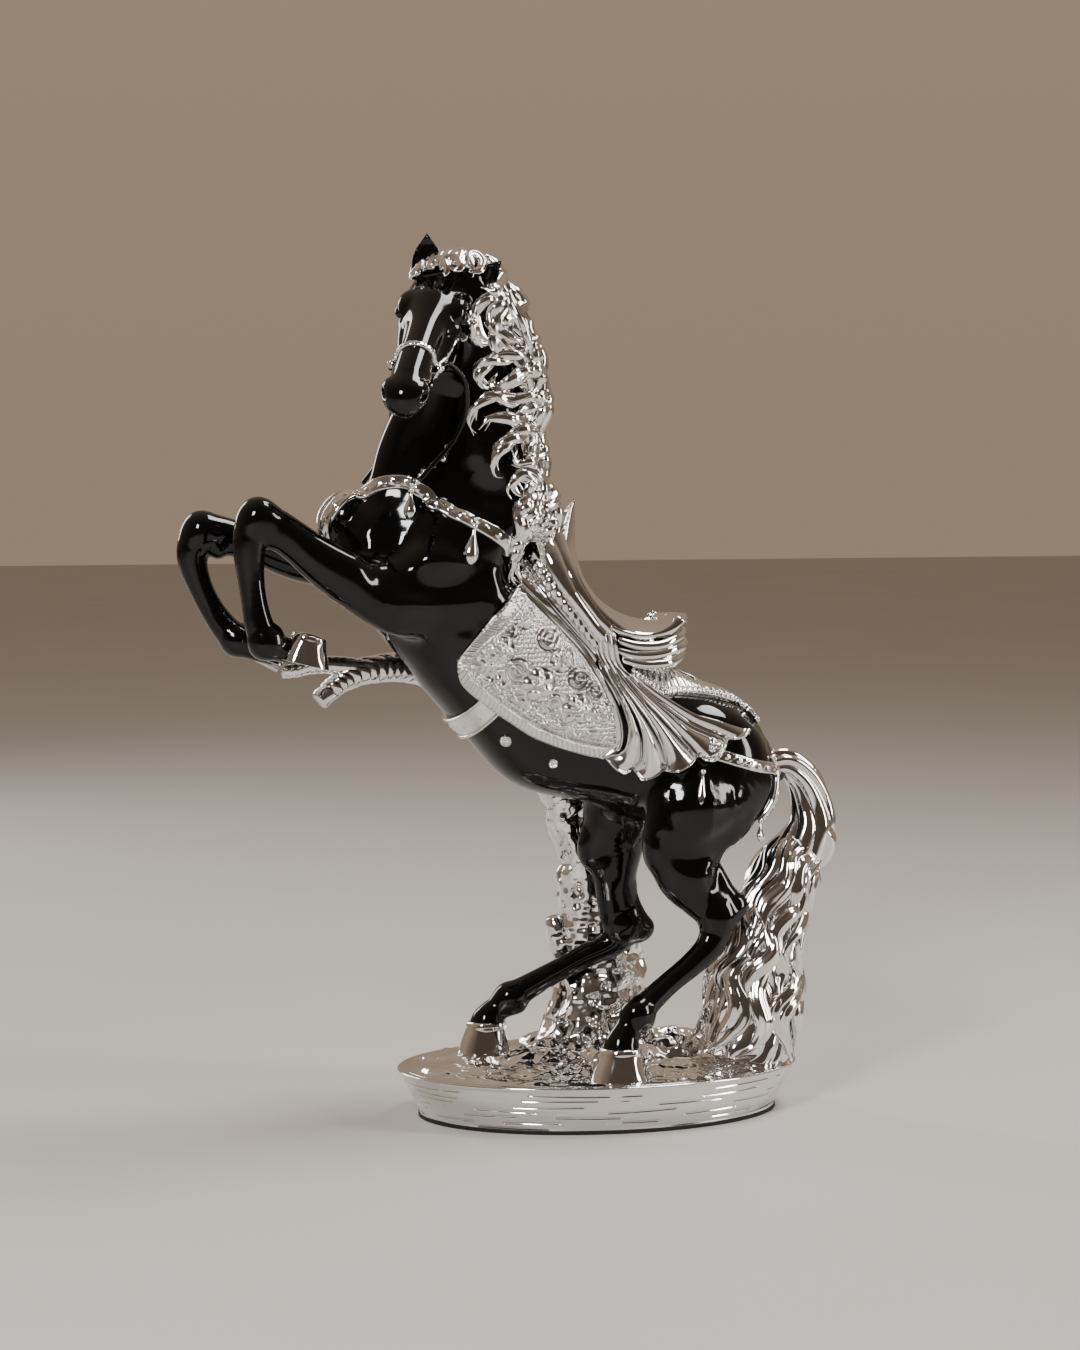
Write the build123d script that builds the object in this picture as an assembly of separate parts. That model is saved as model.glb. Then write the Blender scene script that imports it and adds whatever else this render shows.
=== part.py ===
from build123d import *
import os

# A rearing horse statue on an oval base. The horse is lacquered black; its tack, mane, tail and hooves,
# and the tree and base that carry it, are silver-plated castings.
# Millimetres. The origin is the centre of the base's underside, +Z is up, and the base's long axis is
# along X. The horse faces -X, so its left side is on -Y.

# ---- driving dimensions ----
BASE_LENGTH = 246.0
BASE_DEPTH = 170.0
FOOT_LENGTH = 220.0
FOOT_DEPTH = 152.0
BASE_TOP = 29.0
RIM_LAND = 3.0
BASE_WALL = 6.0
PAD_THICKNESS = 2.0
MIDLINE_Y = -5.0
CASTING_WALL = 5.0

PAD_LIFT = 5.0
BLANKET_THICKNESS = 3.5
DRAPE_THICKNESS = 6.0
CROUP_CLOTH_THICKNESS = 3.0
STRAP_THICKNESS = 2.4
HEAD_STRAP_THICKNESS = 1.8
REIN_RADIUS = 2.0
PIN_RADIUS = 2.5
STUD_RADIUS = 3.0
NUT_ACROSS = 10.0
NUT_HEIGHT = 5.0
WASHER_RADIUS = 7.5
WASHER_HEIGHT = 1.2
SEAT_FRONT_X = -24.0
POMMEL_TOP = 366.0
SEAT_HALF_WIDTH = 31.0
SEAT_HALF_HEIGHT = 108.0
GIRTH_WIDTH = 13.0
COLLAR_WIDTH = 11.0
BREECHING_WIDTH = 9.0
NOSEBAND_WIDTH = 5.0
NOSEBAND_ALONG = 80.0
CHEEK_STRAP_WIDTH = 3.5
CHEEK_STRAP_TOP = 14.0
CHEEK_STRAP_LENGTH = 66.0
CHEEK_STRAP_BELOW = 19.0
COLLAR_DROP_LENGTH, COLLAR_DROP_RADIUS = 17.0, 3.4
BREECHING_DROP_LENGTH, BREECHING_DROP_RADIUS = 22.0, 4.0
ROSETTE_HEIGHT = 2.2
HOOF_PIN_RADIUS = 1.6
EYE_ALONG, EYE_BELOW, EYE_OUT, EYE_RADIUS = 33.0, 10.0, 18.0, 4.6
SLIVER_VOLUME = 20.0

FAR = 400.0

os.makedirs("parts", exist_ok=True)


# ---- shared helpers ----
def path_directions(centres):
    """The direction of a path at each of its points, from the points on either side."""
    last = len(centres) - 1
    return [(centres[min(i + 1, last)] - centres[max(i - 1, 0)]).normalized() for i in range(last + 1)]


def casting(stations, across=(0, 1, 0), grow=0.0):
    """A solid through elliptical stations: x, y, z, half width along across, and half depth."""
    centres = [Vector(*station[:3]) for station in stations]
    sections = []
    for centre, heading, station in zip(centres, path_directions(centres), stations):
        side = Vector(*across)
        side = (side - heading * heading.dot(side)).normalized()
        plane = Plane(origin=centre, x_dir=side, z_dir=heading)
        sections.append(plane * Ellipse(station[3] + grow, station[4] + grow))
    return loft(sections)


def ellipsoid(centre, radii):
    return Pos(*centre) * scale(Sphere(1.0), by=radii)


def side_panel(outline):
    """A long prism along Y from an (x, z) outline."""
    return extrude(make_face(Plane.XZ * Polyline(*outline, close=True)), FAR / 2, both=True)


def pin_between(start, end, radius):
    axis = Vector(*end) - Vector(*start)
    plane = Plane(origin=Vector(*start), z_dir=axis.normalized())
    return extrude(plane * Circle(radius), axis.length)


def solids_of(shape):
    return sorted(shape.solids(), key=lambda solid: solid.volume, reverse=True)


def largest(shape):
    return Part() + solids_of(shape)[0]


def without_slivers(shape, least=SLIVER_VOLUME):
    return Part() + [solid for solid in shape.solids() if solid.volume > least]


# ---- torso, neck and head ----
# x, z, half width, half depth along the horse's midline, rump to chest
TORSO = [
    (109, 203, 9, 8),
    (96, 205, 27, 27),
    (68, 207, 38, 44),
    (34, 220, 40, 45),
    (0, 238, 41, 44),
    (-34, 256, 42, 45),
    (-65, 281, 41, 46),
    (-93, 308, 38, 45),
    (-120, 332, 33, 38),
    (-144, 351, 23, 25),
    (-158, 362, 9, 9),
]


def torso_skin(grow=0.0, first=0, last=len(TORSO)):
    stations = [(x, MIDLINE_Y, z, wide, deep) for x, z, wide, deep in TORSO[first:last]]
    return casting(stations, grow=grow)


# x, y, z, half width, half depth, from inside the torso up to the poll
NECK = [
    (-88, -5, 330, 31, 44),
    (-91, -6, 356, 31, 48),
    (-90, -8, 384, 28, 48),
    (-87, -11, 410, 24, 42),
    (-82, -15, 436, 21, 34),
    (-80, -18, 461, 19, 28),
    (-83, -21, 484, 17, 22),
]

POLL = Vector(-99, -18.5, 507)
HEAD_HEADING = Vector(-0.37, -0.69, -0.63).normalized()
HEAD_ROLL = 8.0
LEVEL_RIGHT = HEAD_HEADING.cross(Vector(0, 0, 1)).normalized()
HEAD_RIGHT = LEVEL_RIGHT.rotate(Axis((0, 0, 0), tuple(HEAD_HEADING)), -HEAD_ROLL)
FACE_NORMAL = HEAD_RIGHT.cross(HEAD_HEADING).normalized()
# along the head from the poll, below the face line, half width, half depth
HEAD = [
    (-4, 16, 12, 12),
    (8, 18, 19, 20),
    (28, 20, 21, 25),
    (48, 17, 18, 21),
    (68, 13, 14, 16),
    (86, 11, 12, 13.5),
    (102, 12, 13, 13.5),
    (112, 13, 11, 10.5),
    (117, 13, 6, 6),
]


def on_head(along, below, right=0.0):
    return POLL + HEAD_HEADING * along - FACE_NORMAL * below + HEAD_RIGHT * right


def head_skin(grow=0.0):
    sections = []
    for along, below, wide, deep in HEAD:
        plane = Plane(origin=on_head(along, below), x_dir=HEAD_RIGHT, z_dir=HEAD_HEADING)
        sections.append(plane * Ellipse(wide + grow, deep + grow))
    return loft(sections)


def head_block(along, length, below, depth, width=FAR):
    """A box in the head's own directions: centred across it, from along to along + length."""
    plane = Plane(origin=on_head(along, below), x_dir=HEAD_RIGHT, z_dir=HEAD_HEADING)
    return plane * Box(width, depth, length, align=(Align.CENTER, Align.CENTER, Align.MIN))


torso = torso_skin()
neck_skin = casting(NECK)
head = head_skin()
neck = largest(neck_skin - torso - head)
torso_cavity = torso_skin(-CASTING_WALL, 1, len(TORSO) - 1)

# ---- legs ----
# x, y, z, half width, half depth; the upper run ends at the joint where the lower run starts
LEFT_FORELEG = {
    "upper": [(-96, -26, 320, 13, 26), (-121, -34, 314, 14, 23), (-146, -38, 318, 13, 18.5),
              (-178, -39, 336, 11, 13), (-200, -40, 351, 10, 11), (-213, -40, 359, 10, 10.5)],
    "joint": ((-214, -40, 359), (11, 11.2, 12)),
    "lower": [(-214, -40, 361, 9, 9.5), (-218, -40, 340, 8.5, 8.8), (-216, -40, 316, 7, 7.4),
              (-212, -40, 298, 8, 8.4), (-209, -40, 287, 8, 8.6)],
    "fetlock": ((-209, -40, 288), (8.8, 8.8, 8.8)),
    "pastern": [(-210, -40, 288, 7.5, 8), (-200, -40, 283, 6.6, 6.6), (-188, -40, 282, 7.5, 7.5)],
}
RIGHT_FORELEG = {
    "upper": [(-94, 16, 326, 12, 24), (-116, 24, 330, 13, 21.5), (-146, 28, 332, 12, 18),
              (-182, 28, 337, 10.5, 13), (-216, 28, 346, 9.5, 10.8), (-235, 28, 350, 9.5, 10.4)],
    "joint": ((-235, 28, 348), (11.5, 11, 11.5)),
    "lower": [(-237, 28, 352, 8, 9.8), (-239, 28, 333, 8, 8.4), (-231, 27, 309, 7, 7.2),
              (-221, 25, 293, 7.6, 8), (-215, 24, 286, 8, 8.4)],
    "fetlock": ((-215, 24, 286), (8.5, 8.5, 8.5)),
    "pastern": [(-216, 24, 286, 7.2, 7.5), (-205, 23, 280, 6.4, 6.4), (-193, 22, 277, 7.2, 7.2)],
}
LEFT_HINDLEG = {
    "upper": [(70, -18, 212, 14, 30), (57, -30, 192, 18, 34), (44, -37, 169, 15, 27),
              (42, -38, 149, 12, 19), (52, -38, 134, 10, 14), (62, -39, 121, 9, 11.5)],
    "joint": ((63, -39, 120), (12, 10.4, 12)),
    "lower": [(64, -39, 123, 9, 11), (59, -42, 106, 8, 9.5), (48, -45, 95, 7.5, 8),
              (28, -51, 82, 6.8, 7.2), (8, -57, 67, 7.8, 8.6)],
    "fetlock": ((7, -57, 66), (8.8, 8.6, 8.8)),
    "pastern": [(8, -57, 67, 7.6, 8), (-1, -59, 56, 7, 7), (-4, -60, 44, 9.5, 9.5)],
}
RIGHT_HINDLEG = {
    "upper": [(42, 8, 206, 13, 27), (24, 19, 185, 17, 29), (12, 26, 163, 14, 21),
              (13, 29, 141, 11, 14.7), (21, 32, 123, 9.5, 11.5), (29, 33, 108, 9, 10.5)],
    "joint": ((30, 33, 107), (11.4, 10.4, 11.4)),
    "lower": [(31, 33, 109, 8.5, 10), (19, 34, 96, 8, 9), (-2, 36, 86, 7.2, 8),
              (-26, 39, 73, 7, 7.6), (-45, 41, 62, 8, 9)],
    "fetlock": ((-46, 41, 62), (9.2, 8.8, 9.2)),
    "pastern": [(-45, 41, 63, 8, 8.4), (-55, 42, 54, 7.4, 7.6), (-60, 42, 45, 9.5, 9.5)],
}


def leg(runs):
    """One leg casting: thigh or forearm, cannon and pastern, with rounded joints between them."""
    shin = casting(runs["lower"]) + ellipsoid(*runs["fetlock"]) + casting(runs["pastern"])
    return casting(runs["upper"]) + (shin + ellipsoid(*runs["joint"]))


def hoof(top, top_radius, sole, sole_half_width, sole_half_length, sole_normal):
    """A flaring hoof between two parallel faces: the coronet's and the flat sole's."""
    across = Vector(0, 1, 0)
    sections = [Plane(origin=Vector(*top), x_dir=across, z_dir=sole_normal) * Circle(top_radius),
                Plane(origin=Vector(*sole), x_dir=across, z_dir=sole_normal)
                * Ellipse(sole_half_width, sole_half_length)]
    return loft(sections)


left_foreleg = leg(LEFT_FORELEG)
right_foreleg = leg(RIGHT_FORELEG)
left_hindleg = leg(LEFT_HINDLEG)
right_hindleg = leg(RIGHT_HINDLEG)

DOWN = (0, 0, -1)
left_fore_hoof = hoof((-184, -40, 291), 8, (-187, -40, 274), 12, 15.5, (-0.25, 0, -1))
right_fore_hoof = hoof((-187, 22, 286), 8, (-191, 22, 270), 11, 14, (-0.35, 0, -1))
left_hind_hoof = hoof((-3, -60, 47), 11.5, (-4, -61, BASE_TOP), 15, 17.5, DOWN)
right_hind_hoof = hoof((-59, 42, 48), 11.5, (-60, 42, BASE_TOP), 14, 17, DOWN)

left_foreleg = left_foreleg - torso - left_fore_hoof
right_foreleg = right_foreleg - torso - right_fore_hoof
left_hindleg = left_hindleg - torso - left_hind_hoof
right_hindleg = right_hindleg - torso - right_hind_hoof
neck = largest(neck - left_foreleg - right_foreleg)

# ---- ears and eyes ----
def ear(root, tip, root_half_width, root_half_depth):
    root, tip = Vector(*root), Vector(*tip)
    stations = []
    for part, swell in ((0.0, 0.85), (0.3, 1.0), (0.65, 0.7), (1.0, 0.12)):
        centre = root + (tip - root) * part
        stations.append((centre.X, centre.Y, centre.Z, root_half_width * swell, root_half_depth * swell))
    return casting(stations, across=tuple(HEAD_RIGHT))


right_ear = ear((-109, -21, 498), (-110, -16, 523), 8, 6) - head - neck
left_ear = ear((-87, -27, 489), (-69, -28, 505), 7, 5.5) - head - neck
eyes = Part() + [Pos(on_head(EYE_ALONG, EYE_BELOW, side * EYE_OUT)) * Sphere(EYE_RADIUS)
                 for side in (-1, 1)]
head = largest(head - eyes)

above_base = Pos(0, 0, BASE_TOP + FAR / 2) * Box(FAR * 2, FAR * 2, FAR)

# ---- tail ----
# x, y, z, half width, half depth, from the rump out, over and down
TAIL_DOCK = [(103, -5, 204, 6, 6), (118, -5, 208, 8, 9), (132, -5, 198, 9, 11), (137, -5, 178, 10, 12),
             (131, -7, 160, 12, 14), (119, -9, 147, 13, 16)]
TAIL_LOCKS = [(119, -9, 147, 13, 16), (110, -12, 130, 15, 18), (102, -15, 112, 17, 21),
              (96, -17, 90, 19, 25), (91, -19, 66, 21, 27), (87, -20, 46, 23, 29),
              (84, -20, BASE_TOP, 25, 30)]
tail_dock = casting(TAIL_DOCK) - torso
tail_locks = (casting(TAIL_LOCKS) & above_base) - tail_dock - left_hindleg

# ---- tree ----
TRUNK = [(14, 50, BASE_TOP, 28, 44), (17, 54, 50, 24, 35), (17, 56, 81, 20, 30), (16, 56, 112, 18, 25),
         (8, 53, 144, 15, 20), (-2, 50, 168, 13, 15), (-10, 49, 186, 12, 12.5)]
BRANCH = [(-10, 49, 186, 12, 12.5), (-22, 54, 206, 11.5, 11.5), (-41, 55, 227, 10.5, 10.5),
          (-65, 49, 247, 10, 10), (-90, 38, 261, 9.4, 9.4), (-113, 27, 268, 8.6, 8.8),
          (-138, 19, 267, 8, 8.3), (-155, 15, 260, 7, 7), (-164, 13, 252, 5, 5)]
TINE = [(-138, 17, 267, 5, 5.5), (-160, 15, 270, 4.5, 5), (-178, 13, 270, 4, 4.5), (-191, 12, 268, 3.6, 4)]
SNAG = [(8, 56, 84, 12, 12), (-6, 56, 92, 9, 9), (-13, 55, 106, 4, 4)]
tree_trunk = (casting(TRUNK) & above_base) - right_hindleg - torso
tree_branch = casting(BRANCH) + casting(TINE)
tree_branch = tree_branch - torso - tree_trunk - left_fore_hoof - right_fore_hoof
branch_stub = casting(SNAG) - tree_trunk - right_hindleg

# ---- mane and forelock ----
MANE = [(-67, -22, 500, 9, 11), (-62, -22, 482, 15, 15), (-55, -22, 458, 19, 17), (-53, -20, 430, 21, 19),
        (-52, -19, 402, 21, 18), (-47, -18, 372, 20, 16), (-40, -14, 342, 16, 14), (-34, -10, 322, 10, 9)]
FORELOCK = [(-82, -20, 500, 9, 8), (-96, -28, 508, 13, 9), (-109, -40, 503, 13, 7), (-116, -48, 492, 9, 4)]
seat_room = Pos(SEAT_FRONT_X - 1 + FAR / 2, 0, POMMEL_TOP + 4 - FAR / 2) * Box(FAR, FAR, FAR)
mane = casting(MANE) - seat_room - neck - torso - head - left_ear
forelock = casting(FORELOCK, across=tuple(HEAD_RIGHT)) - head - left_ear - right_ear - neck - mane

# ---- saddle and cloths ----
# Each panel is a slab that follows the torso, cut to its outline in the (x, z) plane.
SADDLE_PAD_OUTLINE = [(-34, 352), (-56, 319), (-15, 270), (12, 254), (56, 262), (60, 330)]
BLANKET_OUTLINE = [(-56, 319), (-97, 278), (-84, 250), (-49, 230), (-12, 216), (1, 226), (-1, 242),
                   (-15, 270)]
DRAPE_OUTLINE = [(-15, 270), (-1, 242), (1, 226), (-8, 213), (20, 209), (48, 217), (76, 229), (56, 262),
                 (12, 254)]
CROUP_CLOTH_OUTLINE = [(60, 330), (56, 262), (76, 229), (99, 233), (104, 300)]
covered = torso + left_foreleg + right_foreleg + left_hindleg + right_hindleg
left_half = Pos(0, MIDLINE_Y - 8 - FAR / 2, 250) * Box(FAR * 2, FAR, FAR * 2)
right_half = Pos(0, MIDLINE_Y + 8 + FAR / 2, 250) * Box(FAR * 2, FAR, FAR * 2)


def cloth(outline, thickness):
    return (torso_skin(thickness) & side_panel(outline)) - covered


saddle_skirts = largest(cloth(SADDLE_PAD_OUTLINE, PAD_LIFT) - neck - mane)
blanket = cloth(BLANKET_OUTLINE, BLANKET_THICKNESS)
drape = cloth(DRAPE_OUTLINE, DRAPE_THICKNESS)
rear_drape = largest(cloth(CROUP_CLOTH_OUTLINE, CROUP_CLOTH_THICKNESS))
left_blanket = largest(blanket & left_half)
right_blanket = largest((blanket & right_half) - tree_branch - tree_trunk)
seat_curve = ThreePointArc((-17, POMMEL_TOP), (-5, 315), (50, 299))
seat_underside = Polyline((50, 299), (58, 292), (56, 262), (12, 240), (SEAT_FRONT_X, 250),
                          (SEAT_FRONT_X, 350), (-17, POMMEL_TOP))
seat_profile = make_face(Plane.XZ * (seat_curve + seat_underside))
seat_tunnel_plane = Plane(origin=(66, MIDLINE_Y, 210), x_dir=(0, 1, 0), z_dir=(-0.87, 0, 0.49))
seat_tunnel = extrude(seat_tunnel_plane * Ellipse(SEAT_HALF_WIDTH, SEAT_HALF_HEIGHT), 180)
seat_block = extrude(seat_profile, FAR / 2, both=True)
saddle_seat = largest((seat_block & seat_tunnel) - torso_skin(PAD_LIFT))
left_drape = largest((drape & left_half) - saddle_seat)
right_drape = largest((drape & right_half) - saddle_seat - tree_branch - tree_trunk)


# ---- straps ----
def strap_slab(centre, normal, width):
    plane = Plane(origin=centre, z_dir=normal)
    return plane * Box(FAR, FAR, width)


clothed = covered + saddle_skirts + left_blanket + right_blanket + left_drape + right_drape + rear_drape
girth_slab = strap_slab((-65, MIDLINE_Y, 232), (-0.75, 0, 0.66), GIRTH_WIDTH)
below_blanket = side_panel([(-110, 262), (-97, 200), (-30, 170), (0, 200), (-50, 229), (-84, 249)])
girth = largest((torso_skin(STRAP_THICKNESS) & girth_slab & below_blanket) - clothed - tree_branch)

collar_slab = strap_slab((-110, MIDLINE_Y, 366), (0.50, 0.05, 0.866), COLLAR_WIDTH)
collar_skin = torso_skin(STRAP_THICKNESS) + casting(NECK, grow=STRAP_THICKNESS)
breast_collar = (collar_skin & collar_slab) - clothed - neck - mane - saddle_seat
breast_collar = without_slivers(breast_collar, 3 * SLIVER_VOLUME)

breeching_slab = strap_slab((80, MIDLINE_Y, 212), (0.22, 0, 0.97), BREECHING_WIDTH)
behind_drape = side_panel([(52, 190), (56, 232), (130, 232), (130, 180)])
legs_skin = casting(LEFT_HINDLEG["upper"], grow=STRAP_THICKNESS) + casting(
    RIGHT_HINDLEG["upper"], grow=STRAP_THICKNESS)
breeching_strap = ((torso_skin(STRAP_THICKNESS) + legs_skin) & breeching_slab & behind_drape)
breeching_strap = without_slivers(breeching_strap - clothed - tail_dock, 3 * SLIVER_VOLUME)

strapped_head = head_skin(HEAD_STRAP_THICKNESS)
noseband = largest((strapped_head & head_block(NOSEBAND_ALONG, NOSEBAND_WIDTH, 0, FAR)) - head)
cheek_block = head_block(CHEEK_STRAP_TOP, CHEEK_STRAP_LENGTH, CHEEK_STRAP_BELOW, CHEEK_STRAP_WIDTH)
cheek_straps = (strapped_head & cheek_block) - head - neck - mane - eyes - forelock
cheek_straps = without_slivers(cheek_straps - left_ear - right_ear - noseband, SLIVER_VOLUME / 2)

REIN_ROUTE = [(-123, -81, 440), (-110, -65, 446), (-101, -54, 434), (-95, -45, 416), (-98, -40, 402),
              (-109, -39, 390), (-118, -41, 379)]
rein_runs = [Vector(*point) for point in REIN_ROUTE]
rein_line = FilletPolyline(*rein_runs, radius=[6.0] * (len(rein_runs) - 2))
rein = sweep(Plane(origin=rein_line @ 0, z_dir=rein_line % 0) * Circle(REIN_RADIUS), path=rein_line)
reins = without_slivers(rein - head - neck - torso - breast_collar - noseband - cheek_straps)


def pendant(top, drop, radius):
    """A teardrop that hangs from its small ring."""
    bead = Pos(top[0], top[1], top[2] - drop + radius) * Sphere(radius)
    stem = Pos(top[0], top[1], top[2] - (drop - radius) / 2) * Cone(radius * 0.75, 0.9, drop - radius)
    return bead + stem


tack = breast_collar + breeching_strap + girth
COLLAR_DROPS = [(-125, -37, 370), (-88, -44, 353)]
BREECHING_DROPS = [(54, -58, 212), (92, -45, 196)]
ROSETTES = [((56, 219), 7.0), ((-62, 226), 4.5), ((-38, 214), 4.0)]


def both_sides(points):
    """The points and their mirror images across the horse's midline."""
    return points + [(x, 2 * MIDLINE_Y - y, z) for x, y, z in points]


hung_on = covered + neck + tack
breast_pendants = Part() + [pendant(top, COLLAR_DROP_LENGTH, COLLAR_DROP_RADIUS)
                            for top in both_sides(COLLAR_DROPS)]
breast_pendants = without_slivers(breast_pendants - hung_on)
breeching_pendants = Part() + [pendant(top, BREECHING_DROP_LENGTH, BREECHING_DROP_RADIUS)
                               for top in both_sides(BREECHING_DROPS)]
breeching_pendants = without_slivers(breeching_pendants - hung_on - left_drape - right_drape)
rosette_skin = torso_skin(STRAP_THICKNESS + ROSETTE_HEIGHT)
strap_rosettes = Part()
for (x, z), radius in ROSETTES:
    strap_rosettes = strap_rosettes + (rosette_skin & Pos(x, 0, z) * Rot(90, 0, 0) * Cylinder(radius, FAR))
strap_rosettes = strap_rosettes - clothed - tack - breeching_pendants - tree_branch
strap_rosettes = without_slivers(strap_rosettes, SLIVER_VOLUME / 2)

# ---- base ----
foot = Pos(0, 0, PAD_THICKNESS) * Ellipse(FOOT_LENGTH / 2, FOOT_DEPTH / 2)
rim = Pos(0, 0, BASE_TOP - RIM_LAND) * Ellipse(BASE_LENGTH / 2, BASE_DEPTH / 2)
crown = Pos(0, 0, BASE_TOP) * Ellipse(BASE_LENGTH / 2 - 3, BASE_DEPTH / 2 - 3)
inner_foot = Pos(0, 0, PAD_THICKNESS) * Ellipse(FOOT_LENGTH / 2 - BASE_WALL, FOOT_DEPTH / 2 - BASE_WALL)
inner_roof = Pos(0, 0, BASE_TOP - BASE_WALL) * Ellipse(BASE_LENGTH / 2 - 9, BASE_DEPTH / 2 - 9)
base_plinth = loft([foot, rim]) + loft([rim, crown]) - loft([inner_foot, inner_roof])
felt_pad = extrude(Ellipse(FOOT_LENGTH / 2, FOOT_DEPTH / 2), PAD_THICKNESS)

# centre, then radii; each is a dome that rises from the base's top
ROCKS = [((-92, -14), (20, 15, 9)), ((-40, -42), (22, 15, 8)), ((-36, 4), (26, 20, 13)),
         ((14, 0), (24, 18, 17)), ((34, -46), (19, 14, 10)), ((48, 14), (22, 18, 19)),
         ((-88, 24), (15, 12, 8)), ((-6, 60), (26, 14, 15)), ((62, 46), (20, 14, 14)),
         ((98, 14), (13, 14, 9))]
ground_rocks = Part()
for (x, y), radii in ROCKS:
    ground_rocks = ground_rocks + (ellipsoid((x, y, BASE_TOP - 1), radii) & above_base)
ground_rocks = ground_rocks - left_hind_hoof - right_hind_hoof - tree_trunk - tail_locks - left_hindleg
ground_rocks = ground_rocks - right_hindleg

# ---- studs, pins and screws ----
LEFT_STUD_XY = (-6, -61)
RIGHT_STUD_XY = (-61, 42)
TREE_BOLT_XY = [(4, 50), (28, 50)]
TAIL_BOLT_XY = (86, -20)
NUT_TOP = BASE_TOP - BASE_WALL - WASHER_HEIGHT


def upright(xy, top, radius=STUD_RADIUS):
    bottom = NUT_TOP - NUT_HEIGHT - 2
    return Pos(xy[0], xy[1], (bottom + top) / 2) * Cylinder(radius, top - bottom)


left_leg_stud = upright(LEFT_STUD_XY, 54)
right_leg_stud = upright(RIGHT_STUD_XY, 54)
tree_bolts = Part() + [upright(xy, 62) for xy in TREE_BOLT_XY]
tail_bolt = upright(TAIL_BOLT_XY, 60)
anchors = [LEFT_STUD_XY, RIGHT_STUD_XY, TAIL_BOLT_XY] + TREE_BOLT_XY
bolts = left_leg_stud + right_leg_stud + tree_bolts + tail_bolt
nut = extrude(RegularPolygon(NUT_ACROSS / 2, 6, major_radius=False), NUT_HEIGHT)
base_nuts = Part() + [Pos(x, y, NUT_TOP - NUT_HEIGHT) * nut for x, y in anchors]
base_washers = Part() + [Pos(x, y, NUT_TOP + WASHER_HEIGHT / 2) * Cylinder(WASHER_RADIUS, WASHER_HEIGHT)
                         for x, y in anchors]
base_nuts = base_nuts - bolts
base_washers = base_washers - bolts

neck_pins = Part() + [pin_between((-104, y, 338), (-104, y, 382), PIN_RADIUS) for y in (-15, 5)]
head_pin = pin_between((-86, -20, 470), (-104, -35, 492), PIN_RADIUS)
foreleg_pins = Part() + [pin_between((-104, -14, 318), (-124, -38, 314), PIN_RADIUS),
                         pin_between((-104, 6, 322), (-124, 26, 328), PIN_RADIUS)]
hindleg_pins = Part() + [pin_between((62, -12, 206), (52, -40, 180), PIN_RADIUS),
                         pin_between((38, 2, 206), (22, 26, 180), PIN_RADIUS)]
fore_hoof_pins = Part() + [pin_between((-200, -40, 282), (-184, -40, 277), HOOF_PIN_RADIUS),
                           pin_between((-206, 23, 276), (-191, 22, 268), HOOF_PIN_RADIUS)]
tail_pin = pin_between((98, -5, 204), (122, -5, 205), PIN_RADIUS)
saddle_screws = Part() + [pin_between((x, MIDLINE_Y, z - 24), (x, MIDLINE_Y, z + 8), PIN_RADIUS)
                          for x, z in ((6, 284), (36, 274))]

torso = torso - torso_cavity
torso = torso - neck_pins - foreleg_pins - hindleg_pins - tail_pin - saddle_screws
neck = neck - neck_pins - head_pin
head = head - head_pin
left_foreleg = left_foreleg - foreleg_pins - fore_hoof_pins
right_foreleg = right_foreleg - foreleg_pins - fore_hoof_pins
left_fore_hoof = left_fore_hoof - fore_hoof_pins
right_fore_hoof = right_fore_hoof - fore_hoof_pins
left_hindleg = left_hindleg - hindleg_pins - left_leg_stud
right_hindleg = right_hindleg - hindleg_pins - right_leg_stud
left_hind_hoof = left_hind_hoof - left_leg_stud
right_hind_hoof = right_hind_hoof - right_leg_stud
tail_dock = tail_dock - tail_pin
tail_locks = tail_locks - tail_bolt
tree_trunk = tree_trunk - tree_bolts
saddle_seat = saddle_seat - saddle_screws
saddle_skirts = saddle_skirts - saddle_screws
base_plinth = base_plinth - bolts
ground_rocks = without_slivers(ground_rocks - bolts)

# ---- write one file per sub-part ----
nodes = {
    "base_plinth": base_plinth, "felt_pad": felt_pad, "ground_rocks": ground_rocks,
    "tree_trunk": tree_trunk, "tree_branch": tree_branch, "branch_stub": branch_stub,
    "torso": torso, "neck": neck, "head": head, "left_ear": left_ear, "right_ear": right_ear, "eyes": eyes,
    "forelock": forelock, "mane": mane,
    "left_foreleg": left_foreleg, "right_foreleg": right_foreleg,
    "left_hindleg": left_hindleg, "right_hindleg": right_hindleg,
    "left_fore_hoof": left_fore_hoof, "right_fore_hoof": right_fore_hoof,
    "left_hind_hoof": left_hind_hoof, "right_hind_hoof": right_hind_hoof,
    "tail_dock": tail_dock, "tail_locks": tail_locks,
    "saddle_seat": saddle_seat, "saddle_skirts": saddle_skirts,
    "left_blanket": left_blanket, "right_blanket": right_blanket,
    "left_drape": left_drape, "right_drape": right_drape, "rear_drape": rear_drape,
    "girth": girth, "breast_collar": breast_collar, "breast_pendants": breast_pendants,
    "breeching_strap": breeching_strap, "breeching_pendants": breeching_pendants,
    "strap_rosettes": strap_rosettes, "noseband": noseband, "cheek_straps": cheek_straps, "reins": reins,
    "left_leg_stud": left_leg_stud, "right_leg_stud": right_leg_stud, "tree_bolts": tree_bolts,
    "tail_bolt": tail_bolt, "base_nuts": base_nuts, "base_washers": base_washers,
    "neck_pins": neck_pins, "head_pin": head_pin, "foreleg_pins": foreleg_pins,
    "hindleg_pins": hindleg_pins, "fore_hoof_pins": fore_hoof_pins, "tail_pin": tail_pin,
    "saddle_screws": saddle_screws,
}
for name, shape in nodes.items():
    export_step(shape, f"parts/{name}.step")
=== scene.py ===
import math

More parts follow.
